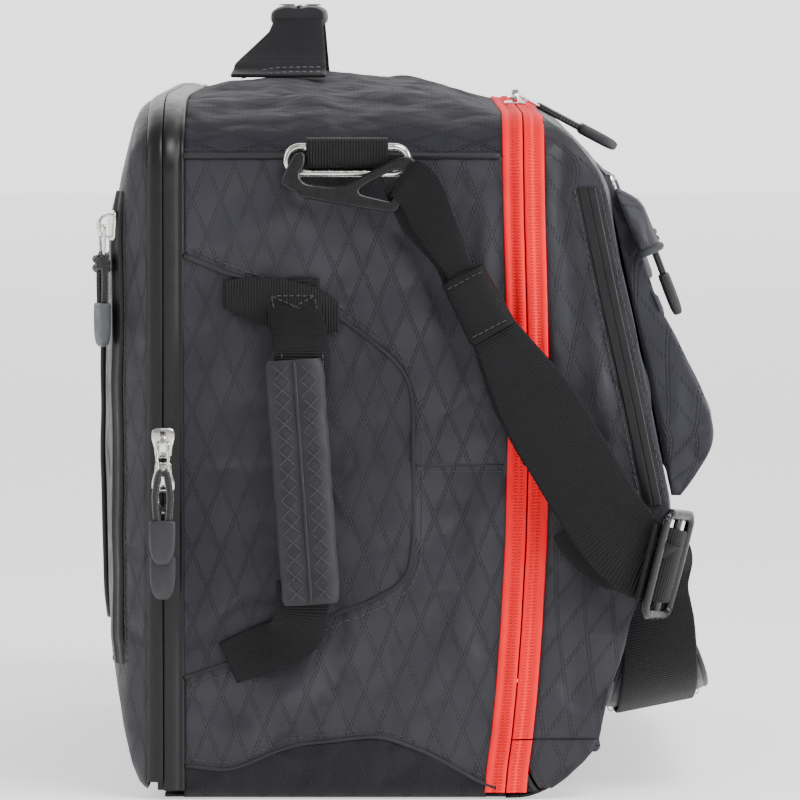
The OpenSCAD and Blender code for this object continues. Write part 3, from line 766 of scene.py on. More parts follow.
for name, _, put in SIDES:
    y, z = end_grid(lambda z: main_zip_y(z) + 9.0, constant(70.6), lambda y: base_seam_z(y) - 1, constant(TOP_SEAM),
                    120, 72)
    cloth = Piece(f"end_{name}_cloth", [BODY, LINING])
    cloth.add(put(sheet(on_end(y, z), np.stack([y, z], -1), (-1, 0, 0))))
    cloth.make("main_body", [f"end_panel_{name}"], "body_fabric", thick=1.6)
    foot = Piece(f"end_{name}_foot", [BASE])
    y, z = end_grid(lambda z: main_zip_y(z) + 9.0, constant(70.6), constant(0.6), base_seam_z, 16, 60)
    p = on_end(y, z, 0.5)
    p[..., 0] += 3.0 * np.clip(1 - z / 5, 0, 1) ** 2
    foot.add(put(sheet(p, np.stack([y, z], -1), (-1, 0, 0))))
    arc = np.linspace(-0.70, -0.02, 10)
    front = -123 + 35.4 * np.cos(arc)
    high = 26 + 35.4 * np.sin(arc)
    filler = np.stack([np.stack([np.full(10, -259.2), front, high], -1),
                       np.stack([np.full(10, -259.2), main_zip_y(high) - 8.8, high], -1)], 1)
    foot.add(put(sheet(filler, None, (-1, 0, 0))))
    foot.make("main_body", [], "body_fabric", thick=1.2)

    trim = Piece(f"end_{name}_piping", [PIPING, THREAD])
    ys = np.linspace(-77, 70.5, 60)
    trim.add(put(tube(on_end(ys, np.full(60, TOP_SEAM), 0.5), 1.35, 10)))
    trim.add(put(stitches(outline(1.084 + 0 * ys, ys) + [0, 0, 0.2], (-0.6, 0, 0.8), 1.9, 1.0, 0.2)), 1)
    ys = np.linspace(-76, 70, 60)
    trim.add(put(tube(on_end(ys, base_seam_z(ys), 0.4), 0.9, 8)))
    trim.add(put(stitches(on_end(ys, base_seam_z(ys) + 3.2, 0.1), (-1, 0, 0), 2.6, 1.1, 0.27)), 1)
    ys = np.linspace(-79, -37, 20)
    trim.add(put(tube(on_end(ys, 156.5 + 0 * ys, -0.2), 0.7, 8)))
    trim.add(put(stitches(on_end(ys, 153.6 + 0 * ys, 0.05), (-1, 0, 0), 2.6, 1.1, 0.25)), 1)
    # the patch behind the handle
    top = curve([(70.3, 254.5), (52, 247), (30, 239), (7, 230.5), (-12, 218.5), (-28, 205.5), (-34.6, 195),
                 (-36.6, 183)], 46)
    bottom = curve([(-36.6, 121), (-34.5, 108), (-28, 99.5), (-14, 92), (-3, 88), (14, 80), (36, 69), (70.3, 57)], 40)
    edge = np.vstack([top, bottom])
    ys = np.linspace(-36.6, 70.3, 50)
    z_top = np.interp(ys, top[::-1, 0], top[::-1, 1])
    z_low = np.interp(ys, bottom[:, 0], bottom[:, 1])
    w = np.linspace(0, 1, 60)[:, None]
    zz = z_low[None] * (1 - w) + z_top[None] * w
    yy = np.broadcast_to(ys[None], zz.shape)
    p = on_end(yy, zz, 0.9)
    patch = Piece(f"end_{name}_patch", [PATCH, PIPING, THREAD])
    patch.add(put(sheet(p, np.stack([yy, zz], -1), (-1, 0, 0))))
    patch.add(put(tube(on_end(edge[:, 0], edge[:, 1], 0.7), 1.15, 8)), 1)
    outset = curve([(69.5, 259), (53, 251.5), (31, 243.5), (5.5, 234.5), (-14.5, 222), (-31.5, 208), (-38.6, 196),
                    (-40.6, 183),
                    (-40.6, 121), (-38, 105), (-31, 95.5), (-16, 87.5), (-5, 83.5), (12, 75.5), (34, 64.5),
                    (69.5, 52.5)], 160)
    patch.add(put(stitches(on_end(outset[:, 0], outset[:, 1], 0.1), (-1, 0, 0), 2.8, 0.9, 0.3)), 2)
    patch.make("main_body", [f"end_patch_{name}"], "body_fabric")
    trim.make("main_body", ["end_piping"] if name == "left" else [], "piping")


def top_points(a, y):
    """The top cloth: a is the angle over the outline, from the left seam to the right one."""
    p = outline(1 + a / (math.pi / 2), y)
    x = p[..., 0]
    edge = np.clip((y + 80) / 22, 0, 1) * np.clip((71 - y) / 18, 0, 1) * np.clip((257 - np.abs(x)) / 30, 0, 1)
    soft = edge * edge * (3 - 2 * edge)
    d = soft * (1.6 * wob(x, y, 120, 11) + 1.1 * wob(x, y, 52, 12) + 0.4 * wob(x, y, 24, 13)) - 0.6 * soft
    for args in [
        (-235, 60, -120, -30, 12, -2.2), (-240, 0, -130, 40, 10, 1.6), (-200, -60, -90, -10, 12, -1.8),
        (-70, -66, 20, -20, 12, 1.6), (40, -60, 150, 10, 14, -2.0), (90, 62, 210, 10, 12, -1.8),
        (235, -50, 130, 20, 10, 1.8), (-120, 66, -60, 30, 9, -1.6), (60, 64, 105, 28, 9, -1.4),
    ]:
        d = d + fold(x, y, *args) * np.clip(edge * 3, 0, 1)
    n = np.stack([np.sign(x) * (1 - arch(x)), 0 * x, arch(x) + 0.2], -1)
    n /= np.linalg.norm(n, axis=-1, keepdims=True)
    return p + n * d[..., None]


a0 = math.acos((1 - ((TOP_SEAM - SHOULDER) / ARCH_RISE) ** 3) ** (1 / 3))
ang = a0 + (math.pi - 2 * a0) * (0.5 - 0.5 * np.cos(np.linspace(0, math.pi, 150)))
A, Y = np.meshgrid(ang, np.linspace(-78.8, 70.6, 64), indexing="ij")
P = top_points(A, Y)
U = steps(P)
Piece("top_cloth", [BODY_TOP_PAINTED_SHADE, LINING]).add(sheet(P, np.stack([U, Y], -1), (0, 0, 1))).make(
    "main_body", ["top_panel"], "body_fabric", thick=1.8)

bottom = Piece("base_cloth", [BASE, LINING])
X, Y = np.meshgrid(np.linspace(-258.4, 258.4, 60), np.linspace(-80, 79.6, 24), indexing="ij")
Z = 0.05 + 1.2 * np.clip((np.abs(X) - 252) / 8, 0, 1) ** 2 + 0 * Y
bottom.add(sheet(np.stack([X, Y, Z], -1), np.stack([X, Y], -1), (0, 0, -1)))
lip = curve([(-80, 0.1), (-90, 0.7), (-99, 4), (-109, 10.5), (-117, 17.5), (-121.2, 23.6)], 16)
X = np.linspace(-257.1, 257.1, 70)
P = np.stack([np.broadcast_to(X[:, None], (70, 16)), np.broadcast_to(lip[None, :, 0], (70, 16)),
              np.broadcast_to(lip[None, :, 1], (70, 16))], -1)
bottom.add(sheet(P, None, (0, -0.5, -1)))
bottom.add(tube(np.stack([np.linspace(-256, 256, 40), np.full(40, -121.6), np.full(40, 24.4)], -1), 1.3, 10))
bottom.make("main_body", ["base_panel"], "body_fabric", thick=1.8)

# the divider inside
X, Z = np.meshgrid(np.linspace(-256.5, 256.5, 60), np.linspace(0, 1, 30), indexing="ij")
tall = np.minimum(317, SHOULDER - 3 + 40 * arch(X))
Zd = 3 + (tall - 3) * Z
Yd = 71.4 + 0.5 * wob(X, Zd, 120, 31)
div = Piece("divider_cloth", [LINING, LINING, THREAD])
div.add(sheet(np.stack([X, Yd, Zd], -1), np.stack([X, Zd], -1), (0, -1, 0)))
for zs in (80, 160, 240):
    xs = np.linspace(-250, 250, 60)
    div.add(stitches(np.stack([xs, 70.2 + 0 * xs, zs + 0 * xs], -1), (0, -1, 0), 3, 1.4, 0.3), 2)
div.make("main_body", ["divider_panel"], "lining", thick=1.6)

# ---------------------------------------------------------------- main lid
LID = curve([(-123.8, 28.3), (-131, 55), (-139.5, 84), (-150, 112), (-156, 128), (-157.3, 138), (-154.5, 152),
             (-147, 190), (-136.5, 240),
             (-126.8, 284), (-122, 297), (-114, 306.5), (-106, 314), (-99, 317.8)], 84)


def relax(p, near, rounds):
    """Rounds a grid off round the columns where near is high, with its border held."""
    p = p.copy()
    for _ in range(rounds):
        mean = p.copy()
        mean[1:-1, 1:-1] = (p[:-2, 1:-1] + p[2:, 1:-1] + p[1:-1, :-2] + p[1:-1, 2:]) / 4
        p = p + (mean - p) * near
    return p


def box_front(profile, back, width, n_side, n_front, rounding):
    """A pouch's side, front and side as one grid. profile is (y, z) up its front."""
    rows = len(profile)
    fine = 1 - (1 - np.linspace(0, 1, n_side, endpoint=False)) ** 1.5
    edge = 0.5 - 0.5 * np.cos(np.linspace(0, math.pi, n_front))
    out = []
    for (y, z), yb, w in zip(profile, back, width):
        side = np.stack([np.full(n_side, -w), yb + (y - yb) * fine, np.full(n_side, z)], -1)
        front = np.stack([-w + 2 * w * edge, np.full(n_front, y), np.full(n_front, z)], -1)
        out.append(np.vstack([side, front, side[::-1] * [-1, 1, 1]]))
    p = np.array(out)
    cols = np.arange(p.shape[1])
    near = np.exp(-(((cols - n_side) / 5.0) ** 2)) + np.exp(-(((cols - (p.shape[1] - 1 - n_side)) / 5.0) ** 2))
    near = np.broadcast_to(np.clip(near, 0, 1)[None, :, None], p.shape) * 0.9
    uv_u, uv_v = steps(p.transpose(1, 0, 2)).T, steps(p)
    return relax(p, near, rounding), np.stack([uv_u - uv_u.mean(1, keepdims=True), uv_v], -1)


def strip_y(z):
    """Depth of the black zip up each side of the lid."""
    return np.interp(z, [138, 142, 185, 233, 286], [-148.6, -148.0, -139.2, -128.6, -117.6])


def outward_normals(p, ahead, corner, rise):
    """Normals of a pouch's grid: its sides face outwards past the corner, and its front ahead."""
    n = normals(p, ahead)
    x = p[..., 0]
    toward = np.stack([np.sign(x) * np.clip((np.abs(x) - corner) / 30, 0, 1), -np.ones(x.shape), rise + 0 * x], -1)
    return n * np.sign((n * toward).sum(-1, keepdims=True) + 1e-9)


back = main_zip_y(LID[:, 1]) - 9.3
P, UV = box_front(LID, back, half_width(LID[:, 1]), 18, 96, 9)
N = outward_normals(P, (0, -1, 0.2), 225, 0.25)
x, y, z = P[..., 0], P[..., 1], P[..., 2]
cols = np.arange(P.shape[1])
inner = np.clip(np.minimum(cols, P.shape[1] - 1 - cols) / 6, 0, 1)[None] * np.clip((z - 30) / 20, 0,
                                                                                   1) * np.clip((317 - z) / 14, 0, 1)
D = inner * (1.0 * wob(x + y * 1.3, z, 74, 21) + 0.5 * wob(x + y, z, 30, 22) - 0.2)
on_side = np.clip((np.abs(x) - 248) / 8, 0, 1)
for args in [(-104, 312, -112, 200, 4, -2.0), (-101, 300, -103, 120, 3.5, 1.1), (-120, 262, -128, 150, 5, 1.3),
             (-128, 200, -112, 90, 6, -1.6), (-110, 120, -130, 60, 6, 1.2), (-104, 90, -118, 40, 5, -1.2),
             (-140, 150, -120, 110, 5, 1.1)]:
    D = D + 1.5 * inner * on_side * fold(y, z, *args)
for args in [(-200, 300, -60, 190, 12, -1.5), (40, 305, 170, 200, 12, -1.4), (-140, 110, 120, 60, 12, 1.5),
             (-235, 120, -120, 60, 9, -1.5),
             (235, 120, 120, 60, 9, -1.5), (-60, 130, 60, 40, 14, -1.2)]:
    D = D + 1.7 * inner * (1 - on_side) * fold(x, z, *args)
from_strip = np.abs(y - strip_y(z))
under = np.clip((12 - from_strip) / 5, 0, 1) * np.clip((z - 128) / 10, 0, 1) * np.clip((296 - z) / 10, 0, 1)
D = D * (1 - on_side * under) - 0.3 * on_side * under
P = P + N * D[..., None]
lid = Piece("lid_cloth", [BODY, LINING])
lid.add(facing(sheet(P, UV), (0, -60, 170)))
for put in (same, mirror_x):
    zs = np.linspace(28.2, 5, 14)
    y_front = np.interp(zs, [3, 9.5, 17, 23, 28.3], [-99, -108.2, -116, -121.4, -123.8])
    y_back = np.minimum(-123 + np.sqrt(np.maximum(34.4**2 - (zs - 26) ** 2, 0)), main_zip_y(zs) - 9.2)
    t = np.linspace(0, 1, 12)[None]
    yy = y_back[:, None] * (1 - t) + y_front[:, None] * t
    zz = np.broadcast_to(zs[:, None], yy.shape)
    p = np.stack([np.full(yy.shape, -259.6), yy, zz], -1)
    lid.add(put(sheet(p, p[..., 1:], (-1, 0, 0))))
lid.make("main_lid", ["lid_front_panel", "lid_gusset_left", "lid_gusset_right"], "body_fabric", thick=1.8)


def lid_front_y(z):
    return np.interp(z, LID[:, 1], LID[:, 0])


strip = Piece("front_zip_strips", [BLACK_ZIP, THREAD])
for put in (same, mirror_x):
    zs = np.linspace(286, 138, 50)
    mid = strip_y(zs)
    bow = 0.9 + 1.3 * np.sin(np.linspace(0, math.pi, 50)) * 0.3
    section = [(-4.4, -1.2), (-4.2, 0.5), (-3.4, 1.0), (-1.6, 0.75), (-0.5, 1.3), (0, 0.9), (0.5, 1.3), (1.6, 0.75),
               (3.4, 1.0), (4.2, 0.5), (4.4, -1.2)]
    p = np.array([[(-HALF - h * 0.9 + 0.2 - b * 0.2, m + q, zz) for q, h in section] for m, zz,
                  b in zip(mid, zs, bow)])
    strip.add(put(sheet(p, grid_uv([q for q, _ in section], zs), (-1, 0, 0))))
    for off in (-6.0, 6.0):
        row = np.stack([np.full(50, -HALF - 0.2), mid + off, zs], -1)
        strip.add(put(stitches(row, (-1, 0, 0), 2.6, 1.0, 0.27)), 1)
strip.make("main_lid", ["front_zip_strip"], "black_zip")

# ---------------------------------------------------------------- front pocket
POCKET_PROFILE = curve([(-162.6, 140.5), (-168.5, 147.5), (-175, 158), (-177.8, 168), (-176.2, 178), (-168.5, 196),
                        (-160, 214), (-152, 233),
                        (-144.5, 251), (-138.8, 265), (-134, 277), (-131, 285), (-129, 291.5)], 60)
back = lid_front_y(POCKET_PROFILE[:, 1]) - 1.2
wide = np.interp(POCKET_PROFILE[:, 1], [140, 170, 240, 292], [232, 237.5, 236.5, 233])
P, UV = box_front(POCKET_PROFILE, back, wide, 9, 84, 5)
x, y, z = P[..., 0], P[..., 1], P[..., 2]
N = outward_normals(P, (0, -1, 0.3), 205, 0.3)
cols = np.arange(P.shape[1])
inner = np.clip(np.minimum(cols, P.shape[1] - 1 - cols) / 8, 0, 1)[None] * np.clip((z - 141) / 14, 0,
                                                                                   1) * np.clip((291 - z) / 30, 0, 1)
D = inner * (1.2 * wob(x, z, 95, 41) + 0.7 * wob(x, z, 38, 42) + 0.3)
for args in [(-225, 262, -130, 180, 9, -1.4), (225, 262, 130, 180, 9, -1.4), (-205, 190, -120, 160, 8, 1.2),
             (205, 190, 120, 160, 8, 1.2),
             (-60, 280, 20, 190, 14, -1.2), (70, 270, 60, 170, 12, 1.0)]:
    D = D + inner * fold(x, z, *args)
P = P + N * D[..., None]
pocket = Piece("pocket_cloth", [POCKET, LINING])
pocket.add(facing(sheet(P, UV), (0, -100, 215)))
pocket.make("front_pocket", ["pocket_front_panel", "pocket_gussets"], "body_fabric", thick=1.4)


def pocket_at(z, lift):
    """A point on the pocket's front, with its outward direction."""
    y = np.interp(z, POCKET_PROFILE[:, 1], POCKET_PROFILE[:, 0])
    y2 = np.interp(z + 2, POCKET_PROFILE[:, 1], POCKET_PROFILE[:, 0])
    n = np.array([-2.0, y2 - y]) / math.hypot(2, y2 - y)
    return np.array([y, z]) + n * lift, n


tape = Piece("pocket_zip_band", [BLACK_ZIP, THREAD])
xs = np.linspace(-226, 226, 120)
section = [(-7.4, -0.4), (-7.1, 0.5), (-5.5, 0.8), (-2.2, 0.8), (-1.1, 1.5), (-0.2, 1.0), (0, 0.6), (0.2, 1.0),
           (1.1, 1.5), (2.2, 0.8), (5.5, 0.8), (7.1, 0.5), (7.4, -0.4)]
(mid, n) = pocket_at(275.0, 0.6)
along = np.array([n[1], -n[0]])
p = np.array([[(xx, *(mid + along * q * -1 + n * h)) for q, h in section] for xx in xs])
tape.add(sheet(p, grid_uv([q for q, _ in section], xs), (0, -1, 0.3)))
for off in (-9, 9):
    row = mid + along * off + n * 0.2
    tape.add(stitches(np.stack([xs, np.full(120, row[0]), np.full(120, row[1])], -1), (0, n[0], n[1]), 2.6, 1.0,
                      0.27), 1)
tape.make("front_pocket", ["pocket_zip_tape"], "black_zip")

garages = Piece("pocket_hoods", [POCKET, LINING])
for put in (same, mirror_x):
    rings = []
    for k, t in enumerate(np.linspace(0, 1, 14)):
        zc = 284 - 30 * t
        (c, n) = pocket_at(zc, 0.0)
        tall = 2.5 + 8.0 * math.sin(min(1, t * 2.4) * math.pi / 2)
        wide_ = 9.0 + 4.5 * min(1, t * 2)
        ring = []
        for a in np.linspace(0, math.pi, 17):
            yy, zz = c + n * (tall * math.sin(a) ** 0.8)
            ring.append((-228 + wide_ * math.cos(a), yy, zz))
        rings.append(ring)
    garages.add(put(sheet(np.array(rings), None, (0, -1, 0))))
    garages.add(put(tube(rings[-1], 0.9, 8)))
garages.make("front_pocket", ["pocket_garages"], "body_fabric", thick=1.0)

# ---------------------------------------------------------------- rear panel
REAR_HEAD = [(0, 0.8), (1, 2.8), (4, 6), (10, 8.6), (32, 14), (60, 19), (93, 22.4), (130, 23.4)]
REAR_FOOT = [(0, 0.8), (1, 2.5), (4, 5), (12, 8.5), (29, 13.2), (62, 18.8), (110, 22), (157, 23.4)]


def rear_rise(away, table):
    """How far the rear panel stands out at a distance from its edge."""
    return np.interp(away, [a for a, _ in table], [d for _, d in table])


def rear_depth(x, z, low, high):
    """Depth of the rear panel's cloth and, from 0 to 1, how clear of its edge a point is."""
    plan = np.interp(HALF - np.abs(x), [0, 1, 10, 20, 32, 48, 70], [0.4, 2.2, 10.2, 15.2, 18.8, 22, 24.5])
    depth = smin(smin(plan, rear_rise(z - low, REAR_FOOT), 3), rear_rise(high - z, REAR_HEAD), 3)
    edge = np.clip(depth / 14, 0, 1)
    return depth + edge * (0.5 * wob(x, z, 110, 51) + 0.3 * wob(x, z, 45, 52)), edge


xs = HALF * -np.cos(np.linspace(0, math.pi, 110))
xs[0], xs[-1] = -259.9, 259.9
low = np.where(np.abs(xs) > 252, 12 - np.sqrt(np.maximum(8**2 - (np.abs(xs) - 252) ** 2, 0)), 4)
high = SHOULDER + smin(ARCH_RISE * arch(xs), roof(88) - SHOULDER, 7)
w = 0.5 - 0.5 * np.cos(np.linspace(0, math.pi, 90))
Z = low[:, None] + (high - low)[:, None] * w[None]
X = np.broadcast_to(xs[:, None], Z.shape)
depth, edge = rear_depth(X, Z, low[:, None], high[:, None])
for args in [(-190, 300, -60, 250, 12, -1.2), (190, 300, 60, 250, 12, -1.2), (-180, 40, -40, 70, 12, -1.2),
             (180, 40, 40, 70, 12, -1.2)]:
    depth = depth + edge * fold(X, Z, *args)
P = np.stack([X, 87 + depth, Z], -1)
Piece("rear_cloth", [BODY, LINING]).add(sheet(P, np.stack([steps(P), Z], -1), (0, 1, 0))).make(
    "rear_panel", ["rear_panel_shell"], "body_fabric", thick=1.8)


def rear_at(x, z, lift=0.0):
    depth, _ = rear_depth(x, z, 4, 325.6)
    return np.stack([x + 0 * z, 87 + depth + lift, z + 0 * x], -1)


outer = Piece("rear_pocket_cloth", [PATCH, PIPING, THREAD])
rx, rz, rr = 205.0, (80.0, 252.0), 22.0
corner = [(sx * (rx - rr) + rr * math.cos(a), (rz[1] - rr if sz > 0 else rz[0] + rr) + rr * math.sin(a))
          for sx, sz, s in ((1, 1, 0), (-1, 1, 90), (-1, -1, 180), (1, -1, 270)) for a in np.radians(np.linspace(s,
              s + 90, 8))]
ring = np.array(corner + corner[:1])
X, W = np.meshgrid(np.linspace(-rx, rx, 70), np.linspace(0, 1, 30), indexing="ij")
inset_z = rr - np.sqrt(np.maximum(rr**2 - np.maximum(np.abs(X) - (rx - rr), 0) ** 2, 0))
Z = (rz[0] + inset_z) * (1 - W) + (rz[1] - inset_z) * W
P = rear_at(X, Z, 1.4)
outer.add(sheet(P, np.stack([X, Z], -1), (0, 1, 0)))
walk = np.concatenate([[0], np.cumsum(np.linalg.norm(np.diff(ring, axis=0), axis=1))])
dense = np.stack([np.interp(np.linspace(0, walk[-1], 300), walk, ring[:, k]) for k in (0, 1)], -1)
outer.add(tube(rear_at(dense[:, 0], dense[:, 1], 1.2), 1.4, 8), 1)
small = dense * [0.975, 1]
small[:, 1] = 166 + (small[:, 1] - 166) * 0.945
outer.add(stitches(rear_at(small[:, 0], small[:, 1], 1.6), (0, 1, 0), 2.8, 1.1, 0.28), 2)
outer.make("rear_panel", ["rear_pocket_panel"], "body_fabric")

rear_zip = Piece("rear_pocket_zip_band", [BLACK_ZIP, THREAD])
zs = np.linspace(62, 284, 90)
base = rear_at(np.full(90, -239.5), zs, 0.2)
tan = rear_at(np.full(90, -233.0), zs) - rear_at(np.full(90, -246.0), zs)
tan /= np.linalg.norm(tan, axis=1, keepdims=True)
nrm = np.stack([-tan[:, 1], tan[:, 0], 0 * zs], -1)
section = [(-7.5, -0.8), (-7.2, 0.4), (-5.5, 0.8), (-2.2, 0.8), (-1.1, 1.5), (0, 0.8), (1.1, 1.5), (2.2, 0.8),
           (5.5, 0.8), (7.2, 0.4), (7.5, -0.8)]
drop = np.interp(zs, [62, 75, 270, 284], [-1.2, 0.5, 0.5, -1.2])
p = base[:, None] + tan[:, None] * np.array([q for q, _ in section])[None, :, None] + nrm[:, None] * (
    np.array([h for _, h in section])[None, :, None] + drop[:, None, None])
rear_zip.add(sheet(p, grid_uv([q for q, _ in section], zs), (-0.378, 0.926, 0)))
for off in (-9.0, 9.0):
    rear_zip.add(stitches(rear_at(np.full(90, -239.5 + off), zs, 0.4), (-0.378, 0.926, 0), 2.6, 1.0, 0.27), 1)
rear_zip.make("rear_panel", ["rear_pocket_zip"], "black_zip")

# ---------------------------------------------------------------- handles
grip_z, grip_y = 364.0, 19.5


def capped(p, centre):
    """A closed form from rings of points: its side and its two ends."""
    caps = [np.stack([p[k], np.broadcast_to(p[k].mean(0), p[k].shape)], 0) for k in (0, -1)]
    return [facing(sheet(grid), centre) for grid in (p, *caps)]


def grip_tube(centre, axis, wide_dir, length, wide, thick, name, body, replaces):
    """A foam grip wrapped in cloth, with two lobes and a seam between them."""
    axis, wide_dir = np.asarray(axis, float), np.asarray(wide_dir, float)
    up = np.cross(axis, wide_dir)
    piece = Piece(name, [WRAP, PIPING, THREAD])
    ang = np.linspace(0, 2 * math.pi, 49)
    rows = []
    for t in np.linspace(-1, 1, 60):
        end = 1 - 0.10 * np.clip((abs(t) - 0.93) / 0.07, 0, 1) ** 2
        lobe = 1 - 0.16 * np.exp(-((np.cos(ang) / 0.22) ** 2)) * (np.sin(ang) > 0)
        c, s = rounded_box(ang, wide / 2 * end, thick / 2 * lobe * end, 0.75, 0.7)
        soft = 0.25 * np.sin(ang * 3 + t * 9) * np.sin(t * 21)
        rows.append(centre + axis * t * length / 2 + (c + soft * np.cos(ang))[:, None] * wide_dir
                    + (s + soft * np.sin(ang))[:, None] * up)
    for part in capped(np.array(rows), centre):
        piece.add(part)
    seam = centre + axis * np.linspace(-1, 1, 40)[:, None] * length / 2 * 0.99 + up * thick / 2 * 0.9
    piece.add(tube(seam, 0.8, 8), 1)
    for k in (-1, 1):
        row = (centre + axis * np.linspace(-1, 1, 40)[:, None] * length / 2 * 0.97 + up * (thick / 2 + 0.05)
               + wide_dir * k * wide * 0.235)
        piece.add(zigzag(row, wide_dir, wide * 0.3, 7.6, up, 0.2), 2)
        piece.add(zigzag(row, wide_dir, -wide * 0.3, 7.6, up, 0.2), 2)
    obj = piece.make(body, replaces, "grip_wrap")
    return obj


grip_tube(np.array([0, grip_y, grip_z]), (1, 0, 0), (0, 1, 0), 104, 27, 12, "top_grip_wrap", "top_handle",
          ["top_handle_grip"])
legs = Piece("top_handle_legs", [WEB_TOP, THREAD_LIGHT])
for sx in (-1, 1):
    path = curve([(sx * 100, 0, 337.0), (sx * 88, 0, 338.0), (sx * 80, 0, 339.5), (sx * 72, 0, 345),
                  (sx * 64, 0, 353), (sx * 57, 0, 360), (sx * 50, 0, 363.6), (sx * 40, 0, 364.2)], 40)
    rise = np.clip((path[:, 2] - 338) / 25, 0, 1)
    front = np.interp(rise, [0, 1], [5.5, 7.5])
    rear = np.interp(rise, [0, 0.15, 0.75, 1], [52, 50, 34, 31.5])
    ctr = path.copy()
    ctr[:, 1] = (front + rear) / 2
    foot = rise < 0.08
    ground = roof(ctr[:, 1]) - 0.3
    ctr[:, 2] = np.where(foot, np.maximum(ground, ctr[:, 2] - 1.0), ctr[:, 2])
    legs.add(ribbon(ctr, (0, 1, 0), rear - front, 1.7))
    for xx in (sx * 98, sx * 86):
        ys = np.linspace(8, 49, 20)
        legs.add(stitches(np.stack([np.full(20, xx), ys, roof(ys) + 2.1], -1), (0, 0, 1), 2.4, 0.9, 0.34), 1)
    side_out = np.array([sx, 0, 0.9]) / 1.35
    ys = np.linspace(8, 47, 20)
    row = np.stack([np.full(20, sx * 81.5), ys, roof(ys) + 4.2], -1)
    legs.add(stitches(row, side_out, 2.4, 0.9, 0.34), 1)
obj = legs.make(None, ["top_handle_webbing"], "handle_webbing")
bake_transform(obj)

for name, sx, put in SIDES:
    grip_tube(np.array([sx * (HALF + 20.0), 14.7, 150.0]), (0, 0.07, 0.9975), (0, -sx * 0.9975, sx * 0.07), 114, 27,
              12,
              f"side_grip_{name}", f"side_handle_{name[0]}", [f"side_handle_{name}_grip"])
    web = Piece(f"side_handle_{name}_straps", [WEB, THREAD])
    path = curve([(-279, 14.7, 196), (-279.5, 15, 209), (-277, 16, 217), (-270.5, 17.5, 224), (-265.5, 19, 231),
                  (-264.2, 19.5, 238), (-263.8, 19.5, 244)], 40)
    web.add(put(ribbon(path, (0, 1, 0), np.interp(np.linspace(0, 1, 40), [0, 0.3, 0.6, 1], [25, 26, 26, 25]), 1.6)))
    across = curve([(-264.0, 52, 236.5), (-264.3, 40, 234.5), (-265.6, 20, 231), (-265.2, 8, 229), (-264.0, -2, 226)],
                   34)
    web.add(put(ribbon(across, (0, 0, 1), np.interp(np.linspace(0, 1, 34), [0, 0.2, 0.5, 0.8, 1],
                                                    [13, 20, 25, 22, 14]), 1.5)))
    path = curve([(-279, 14.7, 104), (-279.5, 15, 91), (-277.5, 16.5, 82.5), (-272, 20, 77), (-267, 27, 73),
                  (-264, 36, 69.5), (-263.2, 50, 64)], 40)
    width_dir = np.array([np.array([0, 1, 0]) * (1 - k) + np.array([0, 0.42,
        0.9]) * k for k in np.clip(np.linspace(-0.4, 1.6, 40), 0, 1)])
    web.add(put(ribbon(path, width_dir, np.interp(np.linspace(0, 1, 40), [0, 0.4, 1], [25, 25, 21]), 1.6)))
    for part in cross_stitch([(-266.4, 19.4, 236), (-266.9, 17.5, 226)], (0, 1, 0), 20, (-1, 0, 0), 0.3):
        web.add(put(part), 1)
    for k in (-9.5, 9.5):
        row = np.array([[-280.6, 14.7 + k, 197], [-280.9, 14.9 + k, 210]])
        web.add(put(stitches(row, (-1, 0, 0), 2.4, 0.9, 0.3)), 1)
    obj = web.make(None, [f"side_handle_{name}_webbing"], "webbing")
    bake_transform(obj)

# ---------------------------------------------------------------- ring sleeves
for name, _, put in SIDES:
    sleeve = Piece(f"ring_sleeve_{name}", [WEB])
    prof = curve([(-259.2, 309.5), (-262.0, 309.6), (-265.2, 309.0), (-267.6, 306.6), (-268.2, 302), (-267.9, 297.2),
                  (-265.8, 295.6), (-263.3, 296.4), (-261.4, 299), (-260.2, 302)], 36)
    ys = np.linspace(-25, 13.2, 24)
    p = np.stack(np.broadcast_arrays(prof[:, None, 0], ys[None], prof[:, None, 1]), -1)
    p[..., 0] += 0.25 * wob(p[..., 1], p[..., 2], 16, 61)
    uv = np.stack(np.broadcast_arrays(steps(prof)[:, None], ys[None]), -1)
    sleeve.add(put(sheet(p, uv, (-1, 0, 0))))
    sleeve.make("main_body", [f"strap_loop_{name}"], "webbing", thick=1.2)

